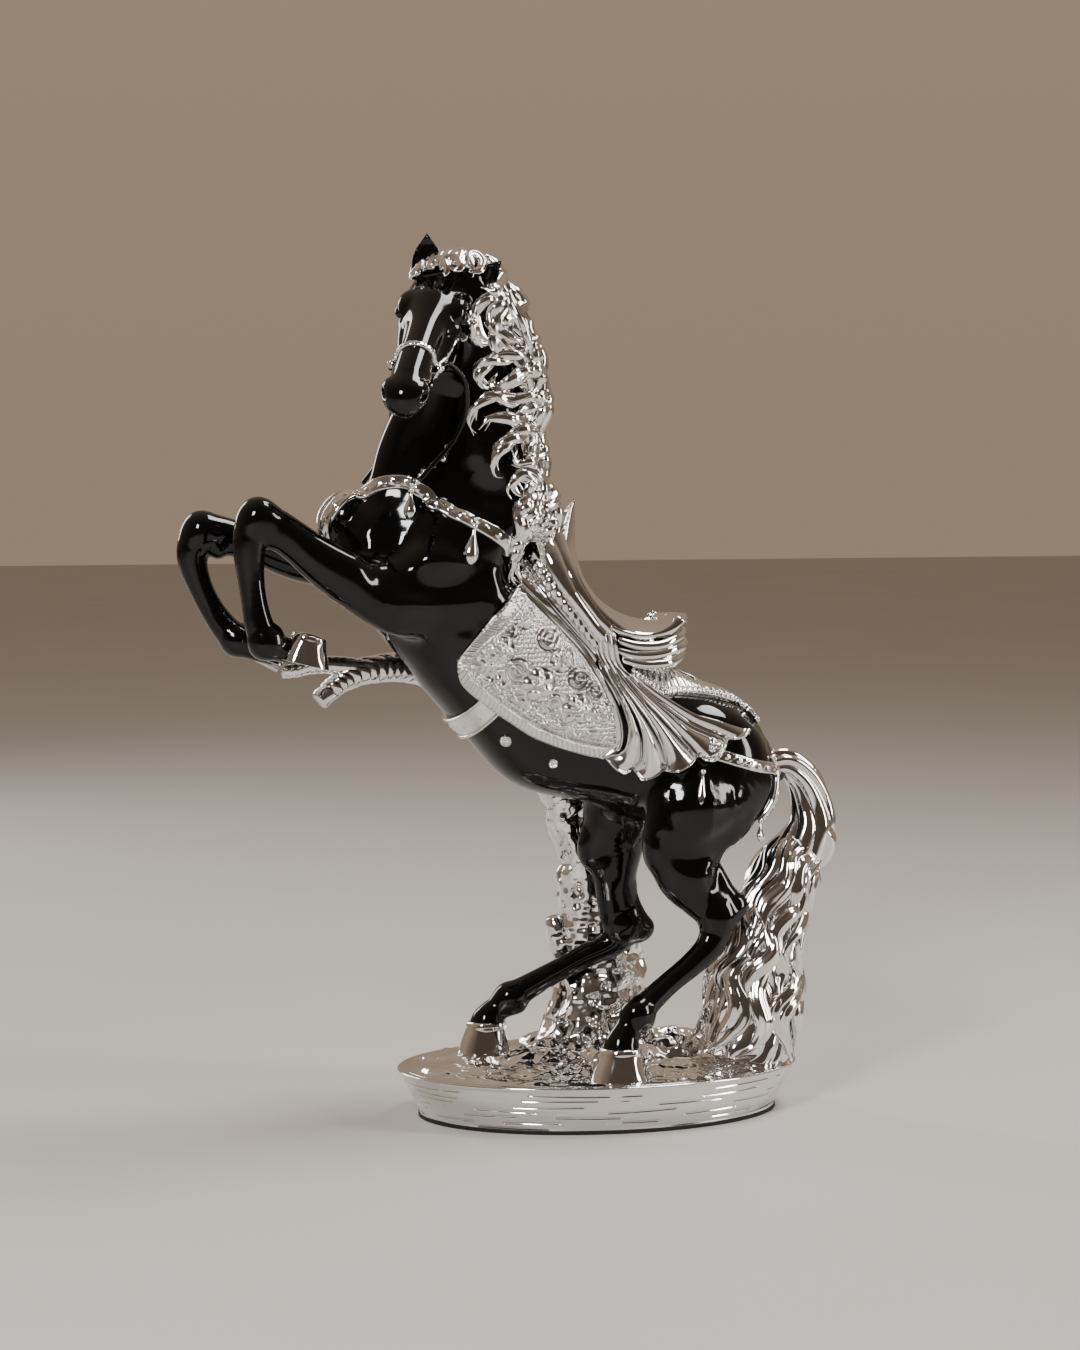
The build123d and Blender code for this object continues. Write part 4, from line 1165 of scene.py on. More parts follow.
# the big locks, each from the crest outward and down to its curl
LOCKS = [
    [(-70, 488), (-80, 483), (-88, 475), (-86, 464), (-79, 460), (-74, 466), (-79, 472)],
    [(-66, 487), (-74, 478), (-72, 468), (-62, 462), (-53, 466)],
    [(-62, 490), (-58, 480), (-52, 470), (-45, 460), (-47, 450)],
    [(-66, 480), (-74, 470), (-70, 458), (-60, 452), (-54, 458), (-59, 463)],
    [(-48, 466), (-42, 456), (-44, 446), (-54, 440), (-62, 444)],
    [(-52, 456), (-64, 452), (-76, 450), (-83, 442), (-79, 435), (-73, 439)],
    [(-46, 448), (-58, 442), (-68, 434), (-74, 438), (-70, 444)],
    [(-40, 450), (-37, 438), (-40, 428), (-50, 424), (-56, 430)],
    [(-44, 434), (-58, 426), (-72, 430), (-84, 424), (-88, 414), (-84, 408)],
    [(-42, 428), (-54, 418), (-66, 416), (-76, 418), (-80, 410)],
    [(-36, 430), (-36, 418), (-42, 410), (-52, 412), (-56, 418)],
    [(-44, 416), (-56, 408), (-66, 404), (-73, 394), (-74, 384), (-69, 382)],
    [(-42, 408), (-44, 396), (-54, 390), (-62, 392), (-60, 399)],
    [(-40, 400), (-40, 388), (-48, 380), (-58, 384), (-64, 378), (-60, 371), (-54, 374)],
    [(-38, 392), (-34, 380), (-38, 370), (-48, 366), (-52, 372)],
    [(-46, 384), (-54, 372), (-52, 362), (-60, 354), (-64, 346)],
    [(-42, 374), (-46, 362), (-56, 354), (-58, 344), (-52, 340)],
    [(-36, 372), (-36, 360), (-44, 352), (-46, 342), (-40, 336)],
    [(-44, 362), (-50, 350), (-46, 340), (-50, 330)],
    [(-34, 362), (-33, 350), (-38, 342), (-36, 332)],
    [(-52, 372), (-60, 362), (-58, 350), (-64, 342), (-61, 334)],
    [(-50, 356), (-56, 346), (-52, 336), (-57, 328), (-52, 322)],
    [(-44, 352), (-42, 340), (-47, 332), (-44, 322)],
    [(-58, 350), (-60, 340), (-56, 330), (-60, 322)],
    [(-38, 346), (-36, 336), (-40, 328), (-37, 318)],
]


def make_mane():
    """Thick waved locks that spring from the crest and hook at their ends over the dark neck."""
    shape = Shape()

    def combed(grid, turn, run):
        strand = turn * 4 + 1.8 * np.sin(run / 9) + 1.6 * noise(grid, 16, 52)
        return 1.5 * np.abs(np.sin(strand)) - 0.6 + 1.2 * noise(grid, 9, 51)
    shape.tube(limb_grid(MANE + [(-36, -12, 322, 9, 4)], 130, 1.1, combed))
    for flank in (-1, 1):
        for points in LOCKS:
            for strand in range(3):
                shift = np.array([1.9, 1.3]) * (strand - 1) + random.uniform(-0.8, 0.8, 2)
                cut = len(points) if strand == 1 else len(points) - random.integers(0, 2)
                comb_over(shape, [(x + shift[0], z + shift[1]) for x, z in points[:cut]], flank,
                          random.uniform(2.7, 3.7), random.uniform(2.3, 3.2), random.uniform(2.2, 4.8),
                          wave=random.uniform(0.6, 1.5), waves=random.uniform(1.2, 2.4),
                          phase=random.uniform(0, 6.28))
    # the crest seen from behind: hooked locks alternating from side to side down the back of the neck
    for row in range(22):
        z = 503 - row * 7.8
        x = np.interp(z, [330, 363, 377, 397, 412, 428, 444, 461, 473, 484, 503],
                      [-34, -36, -42, -47, -45, -42, -45, -50, -57, -63, -76])
        hand = 1 if row % 2 else -1
        points = [(x - 3, z + 4), (x + 4, z - 3), (x + 3, z - 11), (x - 4, z - 17), (x - 9, z - 14)]
        comb_over(shape, points, 0.28 * hand, 4.4, 3.4, 3.4, wave=1.2, waves=1.3, phase=row * 1.7, steps=44)
    finish_piece(shape.piece("plated_mane"), PLATE_HAIR, "plated_hair", "mane")


def make_forelock():
    """A smooth combed cap between the ears, and a roll of thick round curls across the brow."""
    shape = Shape()
    cap_bed = Field(head_shapes() + [Tube(NECK, blend=16)])
    rows, cols = 40, 120
    a, c = np.linspace(-20, 11, rows)[:, None], np.linspace(-1, 1, cols)[None]
    spread = 12 + 6 * ease(a, -20, 4)
    guess = (POLL + ALONG * a[..., None] + FACE * (2 + 3 * (1 - c ** 2))[..., None]
             + RIGHT * (c * spread)[..., None])
    fall = ease(a, -20, 11)
    strands = 0.7 * np.abs(np.sin(c * 13 + 0.8 * np.sin(fall * 4 + c * 3))) ** 0.8
    lift = 2.2 + 2.2 * (1 - c ** 2) * np.sin(math.pi * (0.15 + 0.7 * fall)) + strands
    top = cap_bed.settle(guess.reshape(-1, 3), lift.ravel(), rounds=12, most=3).reshape(guess.shape)
    deep = cap_bed.settle(guess.reshape(-1, 3), -1.5, rounds=12, most=3).reshape(guess.shape)
    shape.slab(top, deep)
    curls = ((9, 14, 5.4, 1, 0.0), (11, 7, 4.6, -1, 1.0), (12, -1, 6.4, 1, 2.2), (11, -9, 5.2, -1, 0.5),
             (6, -16, 4.8, 1, 1.4), (3, 17, 4.2, -1, 2.0))
    for along, right, radius, hand, turn in curls:
        spin = np.linspace(0, 1.75 * math.pi, 50)
        coil = radius * (1 - spin / 8.2)
        bearing = hand * spin + turn
        path = np.array([on_head(along + q * math.sin(w), 1, right + q * math.cos(w))
                         for q, w in zip(coil, bearing)])
        path = cap_bed.settle(path, np.linspace(2.6, 4.4, 50), rounds=12, most=3)
        lock(shape, path, cap_bed.normals(path), 2.9, 2.7, 2, tip=0.3, root=0.5)
    for k in range(9):
        right = -15 + 30 * k / 8
        path = np.array([on_head(-16 + 30 * t, 1, right * (0.55 + 0.5 * t) + 1.8 * math.sin(5 * t + k * 1.9))
                         for t in np.linspace(0, 1, 40)])
        path = cap_bed.settle(path, 3.6 + 0.8 * math.sin(k * 1.7), rounds=12, most=3)
        lock(shape, path, cap_bed.normals(path), 2.6, 1.6, 2)
    finish_piece(shape.piece("plated_forelock"), PLATE_HAIR, "plated_hair", "forelock")


TAIL_DOCK = [(100, -5, 203, 6, 6), (109, -5, 208, 8, 7.5), (119, -5, 207, 9, 8.5), (129, -5, 197, 9.5, 10),
             (134, -5, 183, 10, 12), (134, -6, 169, 12, 14), (127, -7, 156, 13, 16), (116, -9, 145, 14, 17)]
TAIL_LOCKS = [(127, -8, 155, 12, 13), (119, -9, 145, 14, 16), (110, -12, 128, 15.5, 18),
              (103, -15, 111, 17, 20), (97, -17, 90, 19, 24), (92, -19, 66, 21, 26), (88, -20, 46, 23, 28),
              (85, -20, 31, 24, 28)]


def make_tail():
    shape = Shape()

    def fluted(_grid, turn, run):
        strand = turn * 3.5 + run / 15
        return 2.2 * np.abs(np.sin(strand)) ** 0.8 - 1.2
    shape.tube(limb_grid(TAIL_DOCK, 120, 0.9, fluted))
    dock_curl = [(131, -12, 172, 4, 4), (139, -12, 166, 5, 5), (142, -11, 158, 5, 5.5),
                 (137, -11, 149, 4, 5), (129, -12, 146, 2, 2)]
    shape.tube(limb_grid(dock_curl, 40, 0.8, lambda g, t, r: 0.8 * np.abs(np.sin(2 * t + r / 8))))
    finish_piece(shape.piece("plated_tail_dock"), PLATE_HAIR, "plated_hair", "tail_dock")

    shape = Shape()

    def combed(grid, turn, run):
        strand = turn * 7 + 1.6 * np.sin(run / 13) + 1.6 * noise(grid, 18, 62)
        return 1.6 * np.abs(np.sin(strand)) - 1.2 + 1.1 * noise(grid, 8, 61)
    shape.tube(limb_grid(TAIL_LOCKS, 150, 1.2, combed))
    rows = smooth_rows(TAIL_LOCKS, 1.6)
    side, deep = frames_of(rows[:, :3], (0, 1, 0))
    count = len(rows)
    for k in range(44):
        around = 2 * math.pi * k / 44 + random.uniform(-0.1, 0.1)
        begin = int(count * (0.0 if k % 2 else random.uniform(0.1, 0.62)))
        span = int(count * random.uniform(0.36, 0.62))
        rank = np.arange(begin, min(count, begin + span))
        if len(rank) < 16:
            continue
        t = np.linspace(0, 1, len(rank))
        phase, waves = random.uniform(0, 6.28), random.uniform(0.9, 1.6)
        shared = 2 * math.pi * rank * 1.6 / 44 + 1.6 * math.sin(around * 2)
        sway = around + (0.2 * np.sin(shared) + 0.07 * np.sin(2 * math.pi * waves * t + phase)
                         + random.choice([-1, 1]) * 0.24 * ease(t, 0.78, 1.0) ** 1.5)
        swell = 1.03 + 0.07 * np.sin(2 * math.pi * waves * t + phase + 1.4) + 0.12 * ease(t, 0.8, 1.0)
        x, y = np.cos(sway) * rows[rank, 3] * swell, np.sin(sway) * rows[rank, 4] * swell
        path = rows[rank, :3] + side[rank] * x[:, None] + deep[rank] * y[:, None]
        path[:, 2] = np.maximum(path[:, 2], BASE_TOP + 1.5)
        out = unit(side[rank] * (x / rows[rank, 3] ** 2)[:, None]
                   + deep[rank] * (y / rows[rank, 4] ** 2)[:, None])
        lock(shape, evenly(path, 70), evenly(out, 70), random.uniform(4.2, 6.4), random.uniform(3.4, 4.8), 2)
    finish_piece(shape.piece("plated_tail_locks"), PLATE_HAIR, "plated_hair", "tail_locks")


# ---- saddle ----
def arc_points(points, count):
    return evenly(smooth_rows(np.asarray(points, float), 1.0), count)


def make_seat():
    """The mirror-smooth seat: a horn in front, a deep sweep, a rolled rim, and a cantle on three rolls."""
    crest = [(-16, 368.5), (-16, 350), (-15.5, 335), (-10, 319.5), (0, 307.5), (13, 300), (27, 296.5),
             (39, 296.5), (52, 299)]
    crest = arc_points([(x, MID, z) for x, z in crest], 170)
    rim = arc_points([(-16.8, -6, 368), (-21.5, -10, 361), (-27.5, -17, 346), (-29, -24, 334),
                      (-26.5, -30, 321.5), (-19.5, -34, 308), (-12, -36, 298.5), (-1, -37, 291.5),
                      (13, -37, 287.5), (25, -36, 288), (34, -35, 292), (41, -33, 298.5)], 170)
    v = np.linspace(-1, 1, 121)[None]
    bow = np.abs(v) ** 2.1
    grid = crest[:, None] + (rim - crest)[:, None] * np.stack([bow, np.abs(v), bow], -1)
    grid[..., 1] = MID + (grid[..., 1] - MID) * -np.sign(v)
    along, aside = np.gradient(grid, axis=0), np.gradient(grid, axis=1)
    up = unit(np.cross(along, aside))
    up = up * np.sign(up[len(crest) // 2, 60, 2])
    fade = ease(np.linspace(0, 1, len(crest)), 0.0, 0.12)[:, None]
    rolled = 2.0 * hump(np.abs(v), 0.965, 0.035)
    rolled = (rolled - 0.35 * hump(np.abs(v), 0.9, 0.03)) * fade
    end = np.linspace(0, 1, len(crest))[:, None]
    rolled = rolled + 1.3 * hump(end, 0.985, 0.02)
    shape = Shape()
    shape.slab(grid + up * rolled[..., None], grid - up * (1.2 + 1.9 * fade)[..., None])
    # three rolls that wrap the back of the cantle, each lower than the last
    rolls = ((1, 286, 45, 289, 3.3), (-1, 280.5, 45.5, 282.5, 3.5), (3, 275, 44, 276, 3.4))
    for x0, z0, x1, z1, size in rolls:
        near = [(x0, -36, z0), (x0 + 13, -38, z0 - 3.6), (x0 + 28, -36, z0 - 3.3), (x1 - 5, -30, z1 - 2),
                (x1 + 1, -19, z1), (x1 + 3.5, MID, z1 + 0.6)]
        path = evenly(smooth_rows(near + [(x, 2 * MID - y, z) for x, y, z in near[-2::-1]], 2.0), 70)
        thick = size * (0.5 + 0.5 * np.sin(math.pi * np.linspace(0, 1, 70)) ** 0.35)
        shape.tube(limb_grid([(*p, r, r) for p, r in zip(path, thick)], 30, 2.0, across=(0, 0, 1)))
    # the block that carries the seat down on to the skirts
    core = [(-24, MID, 345, 8, 3), (-20, MID, 326, 17, 5), (-10, MID, 306, 24, 7), (6, MID, 291, 30, 8),
            (24, MID, 282, 31, 8), (41, MID, 281, 25, 7)]
    shape.tube(limb_grid(core, 90, 1.5))
    finish_piece(shape.piece("mirror_seat"), PLATE_SADDLE, "plated_saddle", "saddle_seat")


# what the cloths lie on: the body, and the saddle's own bulk under the seat
SADDLE_BULK = [(-36, 350, 12, 5), (-38, 334, 24, 10), (-32, 315, 31, 15), (-18, 297, 34, 17),
               (0, 282, 36, 17), (22, 272, 35, 14), (40, 266, 30, 10)]
saddle_bed = Field(horse.shapes + [Tube([(x, MID, z, w, d) for x, z, w, d in SADDLE_BULK], blend=8)])


def side_start(x, z, flank):
    return np.stack([x, np.full_like(x, MID + flank * RAY_START), z], -1)


def drape_on(x, z, flank, lift):
    """Points on one flank of the body, seen straight from that side, lift outside it."""
    start = side_start(x.ravel(), z.ravel(), flank)
    shade = np.broadcast_to([0.0, -flank, 0.0], start.shape)
    hit = saddle_bed.reach(start, shade, lift, rounds=40)
    missed = np.abs(hit[:, 1] - MID) > 100
    inner = np.stack([x.ravel(), np.full(x.size, MID + flank * 14.0), z.ravel()], 1)
    hit[missed] = saddle_bed.settle(inner[missed], lift, rounds=14, most=4)
    too_deep = (hit[:, 1] - MID) * flank < 4
    hit[too_deep, 1] = MID + flank * 4
    return hit.reshape(*x.shape, 3)


def patch(lower, upper, left, right, rows, cols):
    """A Coons patch of (x, z) from four edges; lower and upper run left to right, the others upward."""
    lower, upper = evenly(pad(lower), cols)[:, [0, 2]], evenly(pad(upper), cols)[:, [0, 2]]
    left, right = evenly(pad(left), rows)[:, [0, 2]], evenly(pad(right), rows)[:, [0, 2]]
    u, v = np.linspace(0, 1, cols)[None, :, None], np.linspace(0, 1, rows)[:, None, None]
    flat = (1 - v) * lower[None] + v * upper[None] + (1 - u) * left[:, None] + u * right[:, None]
    corner = ((1 - u) * (1 - v) * lower[0] + u * (1 - v) * lower[-1]
              + (1 - u) * v * upper[0] + u * v * upper[-1])
    return flat - corner


def pad(edge):
    """(x, z) rows as a smooth path in the plane y = 0."""
    rows = np.array([(x, 0, z) for x, z in edge], float)
    return smooth_rows(rows, 1.0)


def edge_distance(flat, edge):
    """Distance from (x, z) points to an edge, and how far along the edge the nearest point is."""
    line = evenly(pad(edge), 160)[:, [0, 2]]
    run = run_along(line)
    away = np.full(flat.shape[:2], 1e3)
    along = np.zeros(flat.shape[:2])
    for k in range(len(line) - 1):
        ab = line[k + 1] - line[k]
        t = np.clip(((flat - line[k]) @ ab) / (ab @ ab), 0, 1)
        d = np.linalg.norm(flat - line[k] - t[..., None] * ab, axis=-1)
        nearer = d < away
        away = np.where(nearer, d, away)
        along = np.where(nearer, run[k] + t * (run[k + 1] - run[k]), along)
    return away, along


def dome(d, r, top):
    return top * np.sqrt(np.clip(1 - (d / r) ** 2, 0, 1))


# spacing of the blanket's seed beads and of the beads along its border, and of a strap's rivets
SEED_PITCH, BORDER_PITCH, RIVET_PITCH = 2.7, 2.6, 8.0


def rosette(dx, dz, radius, petals, spin, top):
    """Height of a flower: round petals about a beaded middle."""
    d, a = np.hypot(dx, dz), np.arctan2(dz, dx) + spin
    rim = radius * (0.7 + 0.3 * np.abs(np.cos(petals * a / 2)))
    petal = top * np.sqrt(np.clip(1 - (d / rim) ** 2, 0, 1)) * (0.65 + 0.35 * np.abs(np.cos(petals * a / 2)))
    eye = dome(d, radius * 0.3, top * 0.9)
    ditch = 0.5 * np.exp(-((d - radius * 0.38) / 0.5) ** 2)
    return np.where(d < radius * 1.05, petal - ditch + eye, 0)


def scroll(dx, dz, size, spin, hand, top):
    """Height of a spiral tendril."""
    d, a = np.hypot(dx, dz), np.arctan2(dz * hand, dx) + spin
    coil = (d / size * 2.6 - a / (2 * math.pi)) % 1.0
    ridge = hump(coil, 0.5, 0.17)
    return top * ridge * (1 - ease(d, size * 0.85, size))


def embroidery(flat, away):
    """Raised flowers, tendrils and seed beads filling the middle of the cloth."""
    x, z = flat[..., 0], flat[..., 1]
    row = np.round(z / SEED_PITCH)
    column = (x + (row % 2) * SEED_PITCH / 2) / SEED_PITCH
    from_seed = np.hypot((column - np.round(column)) * SEED_PITCH, z - row * SEED_PITCH)
    height = dome(from_seed, 1.3, 1.1) + 0.5 * noise(np.stack([x, z, 0 * x], -1), 6.0, 81)
    # (x, z), radius, petals and turn of each flower; (x, z), radius, turn and hand of each tendril
    flowers = [(-72, 282, 8, 6, 0.2), (-50, 262, 10, 5, 0.7), (-27, 247, 9, 6, 0.1), (-58, 300, 7, 5, 1.1),
               (-36, 275, 7.5, 6, 0.4), (-74, 262, 7, 5, 0.0), (-12, 244, 6.5, 5, 0.8), (-48, 241, 6, 6, 0.3)]
    tendrils = [(-62, 270, 8, 0.4, 1), (-41, 250, 8, 2.2, -1), (-44, 288, 8, 3.6, 1), (-61, 250, 7, 1.0, -1),
                (-26, 264, 7, 4.4, -1), (-84, 272, 6.5, 0.5, 1), (-34, 233, 6.5, 2.6, 1),
                (-16, 257, 6, 5.2, 1),
                (-68, 293, 6, 2.0, -1), (-17, 230, 6, 3.1, -1)]
    for cx, cz, size, spin, hand in tendrils:
        near = np.hypot(x - cx, z - cz) < size
        height = np.where(near, 0.1 + scroll(x - cx, z - cz, size, spin, hand, 2.0), height)
    for cx, cz, size, petals, spin in flowers:
        near = np.hypot(x - cx, z - cz) < size * 1.02
        height = np.where(near, rosette(x - cx, z - cz, size, petals, spin, 3.0), height)
    return height * ease(away, 9.5, 11)


def fringed(away, along):
    """A ribbed, fringed border with a bead line inside it."""
    slant = along + 0.5 * away + 0.5 * np.sin(along / 3.1)
    ribs = 1.5 * np.abs(np.sin(math.pi * slant / 2.9)) ** 0.7
    ribs = ribs * ease(away, 0.2, 1.2) * (1 - ease(away, 6.0, 7.0))
    cord = 1.3 * hump(away, 7.6, 0.6)
    step = along / BORDER_PITCH
    from_bead = np.hypot((step - np.round(step)) * BORDER_PITCH, away - 9.6)
    return ribs + cord + dome(from_bead, 1.2, 1.3)


BLANKET_LEFT = [(-58, 319), (-78, 300), (-96, 277)]
BLANKET_HEM = [(-96, 277), (-93, 263), (-78, 249), (-64, 239), (-50, 230), (-32, 223), (-15, 218.5),
               (-7, 217.5)]
BLANKET_RIGHT = [(-7, 217.5), (1, 224), (1, 237), (-5, 254), (-15, 272)]
BLANKET_TOP = [(-58, 319), (-41, 302), (-25, 286), (-15, 272)]


def cloth_under(flat, flank):
    """Where a cloth's lattice lies on the body and saddle, and which way is out; worked out coarsely."""
    rows, cols = flat.shape[:2]
    r, c = np.linspace(0, rows - 1, 44).astype(int), np.linspace(0, cols - 1, 60).astype(int)
    r, c = np.unique(r), np.unique(c)
    few = flat[np.ix_(r, c)]
    under = drape_on(few[..., 0], few[..., 1], flank, 0.3)
    out = normals_on(saddle_bed, under)
    for _ in range(2):
        out[1:-1, 1:-1] = (out[:-2, 1:-1] + out[2:, 1:-1] + out[1:-1, :-2] + out[1:-1, 2:]) / 4
    at_r = np.interp(np.arange(rows), r, np.arange(len(r)))
    at_c = np.interp(np.arange(cols), c, np.arange(len(c)))
    return sampled(under, at_r, at_c), unit(sampled(out, at_r, at_c))


def make_blanket(name, flank):
    rows, cols = ((260, 360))
    flat = patch(BLANKET_HEM, BLANKET_TOP, BLANKET_LEFT[::-1], BLANKET_RIGHT, rows, cols)
    away, along = edge_distance(flat, BLANKET_LEFT + BLANKET_HEM[1:])
    side_away, _ = edge_distance(flat, BLANKET_RIGHT + BLANKET_TOP[::-1][1:])
    height = 1.15 * (fringed(away, along) + embroidery(flat, np.minimum(away, side_away + 6)))
    height = np.where(side_away < 4, 1.2 * hump(side_away, 2, 0.8), height)
    under, out = cloth_under(flat, flank)
    shape = Shape()
    shape.slab(under + out * (2.6 + height)[..., None], under - out * 1.5)
    finish_piece(shape.piece("embossed_" + name), PLATE_CLOTH, "plated_cloth", name)


def make_drape(name, flank):
    """Deep flutes that spring from a narrow gather at the saddle and spread to a scalloped hem."""
    rows, cols = ((240, 400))
    hem = [(-8, 217), (7, 210), (22, 206), (34, 208), (46, 213), (57, 218), (67, 223), (77, 231)]
    gather = [(-15, 291), (-9.5, 291.5), (-4, 291)]
    front = [(-8, 217), (2, 222), (4, 234), (1, 245), (-4, 255), (-11, 269), (-15, 291)]
    back = [(77, 231), (62, 234), (46, 238), (29, 248), (15, 259), (3, 273), (-4, 291)]
    flat = patch(hem, gather, front, back, rows, cols)
    u, v = np.linspace(0, 1, cols)[None], np.linspace(0, 1, rows)[:, None]
    folds = 4.6
    wide = 1 - v
    phase = math.pi * folds * (u + 0.022 * np.sin(v * 7 + u * 3))
    depth = 1.8 + 6.4 * ease(wide, 0.0, 0.75)
    crest = np.abs(np.sin(phase))
    height = depth * (crest ** 0.62 - 0.1) + 0.7 * np.sin(phase * 2 + 0.6) * ease(wide, 0.3, 1)
    # the hem swings in and out with the folds and rolls outward at its lip
    swing = 4.2 * (crest - 0.5) * ease(wide, 0.78, 1.0)
    flat = flat + np.stack([0.35 * swing, -swing], -1)
    lip = 1.5 * hump(v, 0.014, 0.012)
    under, out = cloth_under(flat, flank)
    shape = Shape()
    shape.slab(under + out * (2.2 + height + lip)[..., None], under - out * 0.8)
    finish_piece(shape.piece("fluted_" + name), PLATE_CLOTH, "plated_cloth", name)


# slices across the back: each is a fan of rays towards the spine
SPINE = smooth_rows([(x, MID, z) for x, z, _, _ in TORSO[::-1]], 4.0)


def over_back(near_edge, slices, fans, lift, first, last):
    """A lattice over the back from one lower edge to its mirror; near_edge is (x, z) on the flank."""
    centre = evenly(SPINE, 400)
    heading = unit(np.gradient(centre, axis=0))
    rise = np.cross([0, 1.0, 0], heading)
    rise = rise * np.sign(rise[:, 2:3])
    line = evenly(pad(near_edge), 400)
    run = (line - np.array([0, -MID, 0]))[:, None] - centre[None]
    which = np.abs(np.einsum("ijk,jk->ij", run, heading)).argmin(1)
    level = np.einsum("ij,ij->i", line + np.array([0, MID, 0]) - centre[which], rise[which])
    order = np.argsort(which)
    want = np.linspace(which.min() + first, which.max() - last, slices)
    level = np.interp(want, which[order], level[order])
    middle = np.stack([np.interp(want, np.arange(400), centre[:, k]) for k in range(3)], 1)
    up = unit(np.stack([np.interp(want, np.arange(400), rise[:, k]) for k in range(3)], 1))
    angles = np.linspace(0, math.radians(125), 60)
    rows = []
    for c, n, h in zip(middle, up, level):
        ray = n * np.cos(angles)[:, None] + np.array([0, -1.0, 0]) * np.sin(angles)[:, None]
        hit = horse.reach(c + ray * 95, -ray, lift, rounds=26)
        heights = (hit - c) @ n
        stop = np.interp(-h, -heights, angles)
        fan = np.linspace(-stop, stop, fans)
        rows.append((c, n, fan))
    starts, rays = [], []
    for c, n, fan in rows:
        ray = n * np.cos(fan)[:, None] + np.array([0, 1.0, 0]) * np.sin(fan)[:, None]
        starts.append(c + ray * 95)
        rays.append(-ray)
    hit = horse.reach(np.vstack(starts), np.vstack(rays), lift, rounds=34)
    return hit.reshape(slices, fans, 3)


def make_skirts():
    """The saddle's flaps: long ridges between the seat's rim and the blanket, and the pad behind."""
    rows, cols = ((180, 300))
    shape = Shape()
    for flank in (-1, 1):
        lower = [(-58, 319), (-41, 302), (-25, 286), (-15, 272)]
        upper = [(-36, 358), (-33, 336), (-26, 316), (-14, 299), (-7, 292)]
        left = [(-58, 319), (-54, 338), (-36, 358)]
        right = [(-15, 272), (-12, 283), (-7, 292)]
        flat = patch(lower, upper, left, right, rows, cols)
        v, u = np.linspace(0, 1, rows)[:, None], np.linspace(0, 1, cols)[None]
        ridges = 1.9 * np.abs(np.sin(math.pi * 4.5 * v)) ** 0.65
        height = ridges + 0.3 * np.sin(u * 90 + v * 9) * (np.abs(v - 0.56) < 0.1)
        under, out = cloth_under(flat, flank)
        swell = 2.6 + 4.4 * ease(v, 0.3, 1.0)
        shape.slab(under + out * (swell + height)[..., None], under - out * 1.2)
    rear = [(-14, 300), (0, 288), (20, 276), (40, 266), (56, 258)]
    grid = refine(over_back(rear, 44, 80, 0.3, 0, 0), 110, 220)
    out = normals_on(horse, grid)
    share = np.linspace(-1, 1, grid.shape[1])[None]
    height = 2.2 + 1.2 * np.abs(np.sin(share * 24)) * ease(np.abs(share), 0.3, 0.5)
    shape.slab(grid + out * height[..., None], grid - out * 1.2)
    finish_piece(shape.piece("ridged_skirts"), PLATE_SADDLE, "plated_saddle", "saddle_skirts")


# how wide the croup cloth's trimmed edge is
TRIM_WIDE = 4.2


def make_rear_drape():
    """The cloth over the croup, fluted behind the seat, with a trimmed and beaded lower edge."""
    edge = [(8, 264), (25, 253), (42, 252.5), (56, 251), (70, 248.5), (85, 243), (94, 233)]
    grid = refine(over_back(edge, 56, 90, 0.3, 0, 0), 190, 380)
    out = normals_on(horse, grid)
    middle = grid[:, grid.shape[1] // 2]
    run = run_along(middle)
    arc = np.concatenate([np.zeros((grid.shape[0], 1)),
                          np.cumsum(np.linalg.norm(np.diff(grid, axis=1), axis=2), axis=1)], 1)
    away = np.minimum(arc, arc[:, -1:] - arc)
    away = np.minimum(away, (run[-1] - run)[:, None])
    along = run[:, None] + 0 * arc
    ribs = 1.3 * np.abs(np.sin(math.pi * (along + 0.35 * away) / 4.6)) ** 0.7
    trim = 1.2 * (0.35 + 0.65 * np.abs(np.sin(math.pi * along / 3.0)))
    hem = 1.1 * hump(away, TRIM_WIDE + 0.4, 0.6) + 1.0 * hump(away, 0.8, 0.6)
    height = 1.6 + np.where(away < TRIM_WIDE, trim, ribs) + hem
    shape = Shape()
    shape.slab(grid + out * height[..., None], grid - out * 1.0)
    finish_piece(shape.piece("fluted_croup"), PLATE_CLOTH, "plated_cloth", "rear_drape")


# ---- straps ----
def on_body(points, lift, count):
    path = evenly(smooth_rows(np.asarray(points, float), 2.0), count)
    path = horse.settle(path, lift, rounds=14, most=3)
    for _ in range(3):
        path[1:-1] = (path[:-2] + 2 * path[1:-1] + path[2:]) / 4
    path = evenly(horse.settle(path, lift, rounds=3, most=2), count)
    return path, horse.normals(path)


def band_round(centre, normal, first, last, count, lift, toward=(0, 0, 1)):
    """Where a plane cuts the body, from one angle to another round centre; 0 faces toward."""
    normal = unit(normal)
    zero = unit(np.asarray(toward, float) - normal * (np.asarray(toward, float) @ normal))
    side = np.cross(normal, zero)
    angle = np.radians(np.linspace(first, last, count))
    ray = zero * np.cos(angle)[:, None] + side * np.sin(angle)[:, None]
    path = horse.reach(np.asarray(centre, float) + ray * 90, -ray, lift, rounds=34)
    return path, horse.normals(path)


def studded(run, offset):
    """Strap face: raised edges, a rivet every so often, and scrolls between."""
    edge = 0.35 * hump(np.abs(offset), 0.86, 0.1)
    beat = run / RIVET_PITCH
    from_rivet = np.hypot((beat - np.round(beat)) * RIVET_PITCH, offset * 4.2)
    vine = 0.3 * hump(offset, 0.38 * np.sin(run * 0.8), 0.17) * (from_rivet > 2.2)
    return edge + dome(from_rivet, 1.5, 0.7) + vine


def twisted(run, offset):
    return 0.5 * np.abs(np.sin(run * 1.5 + offset * 1.6))


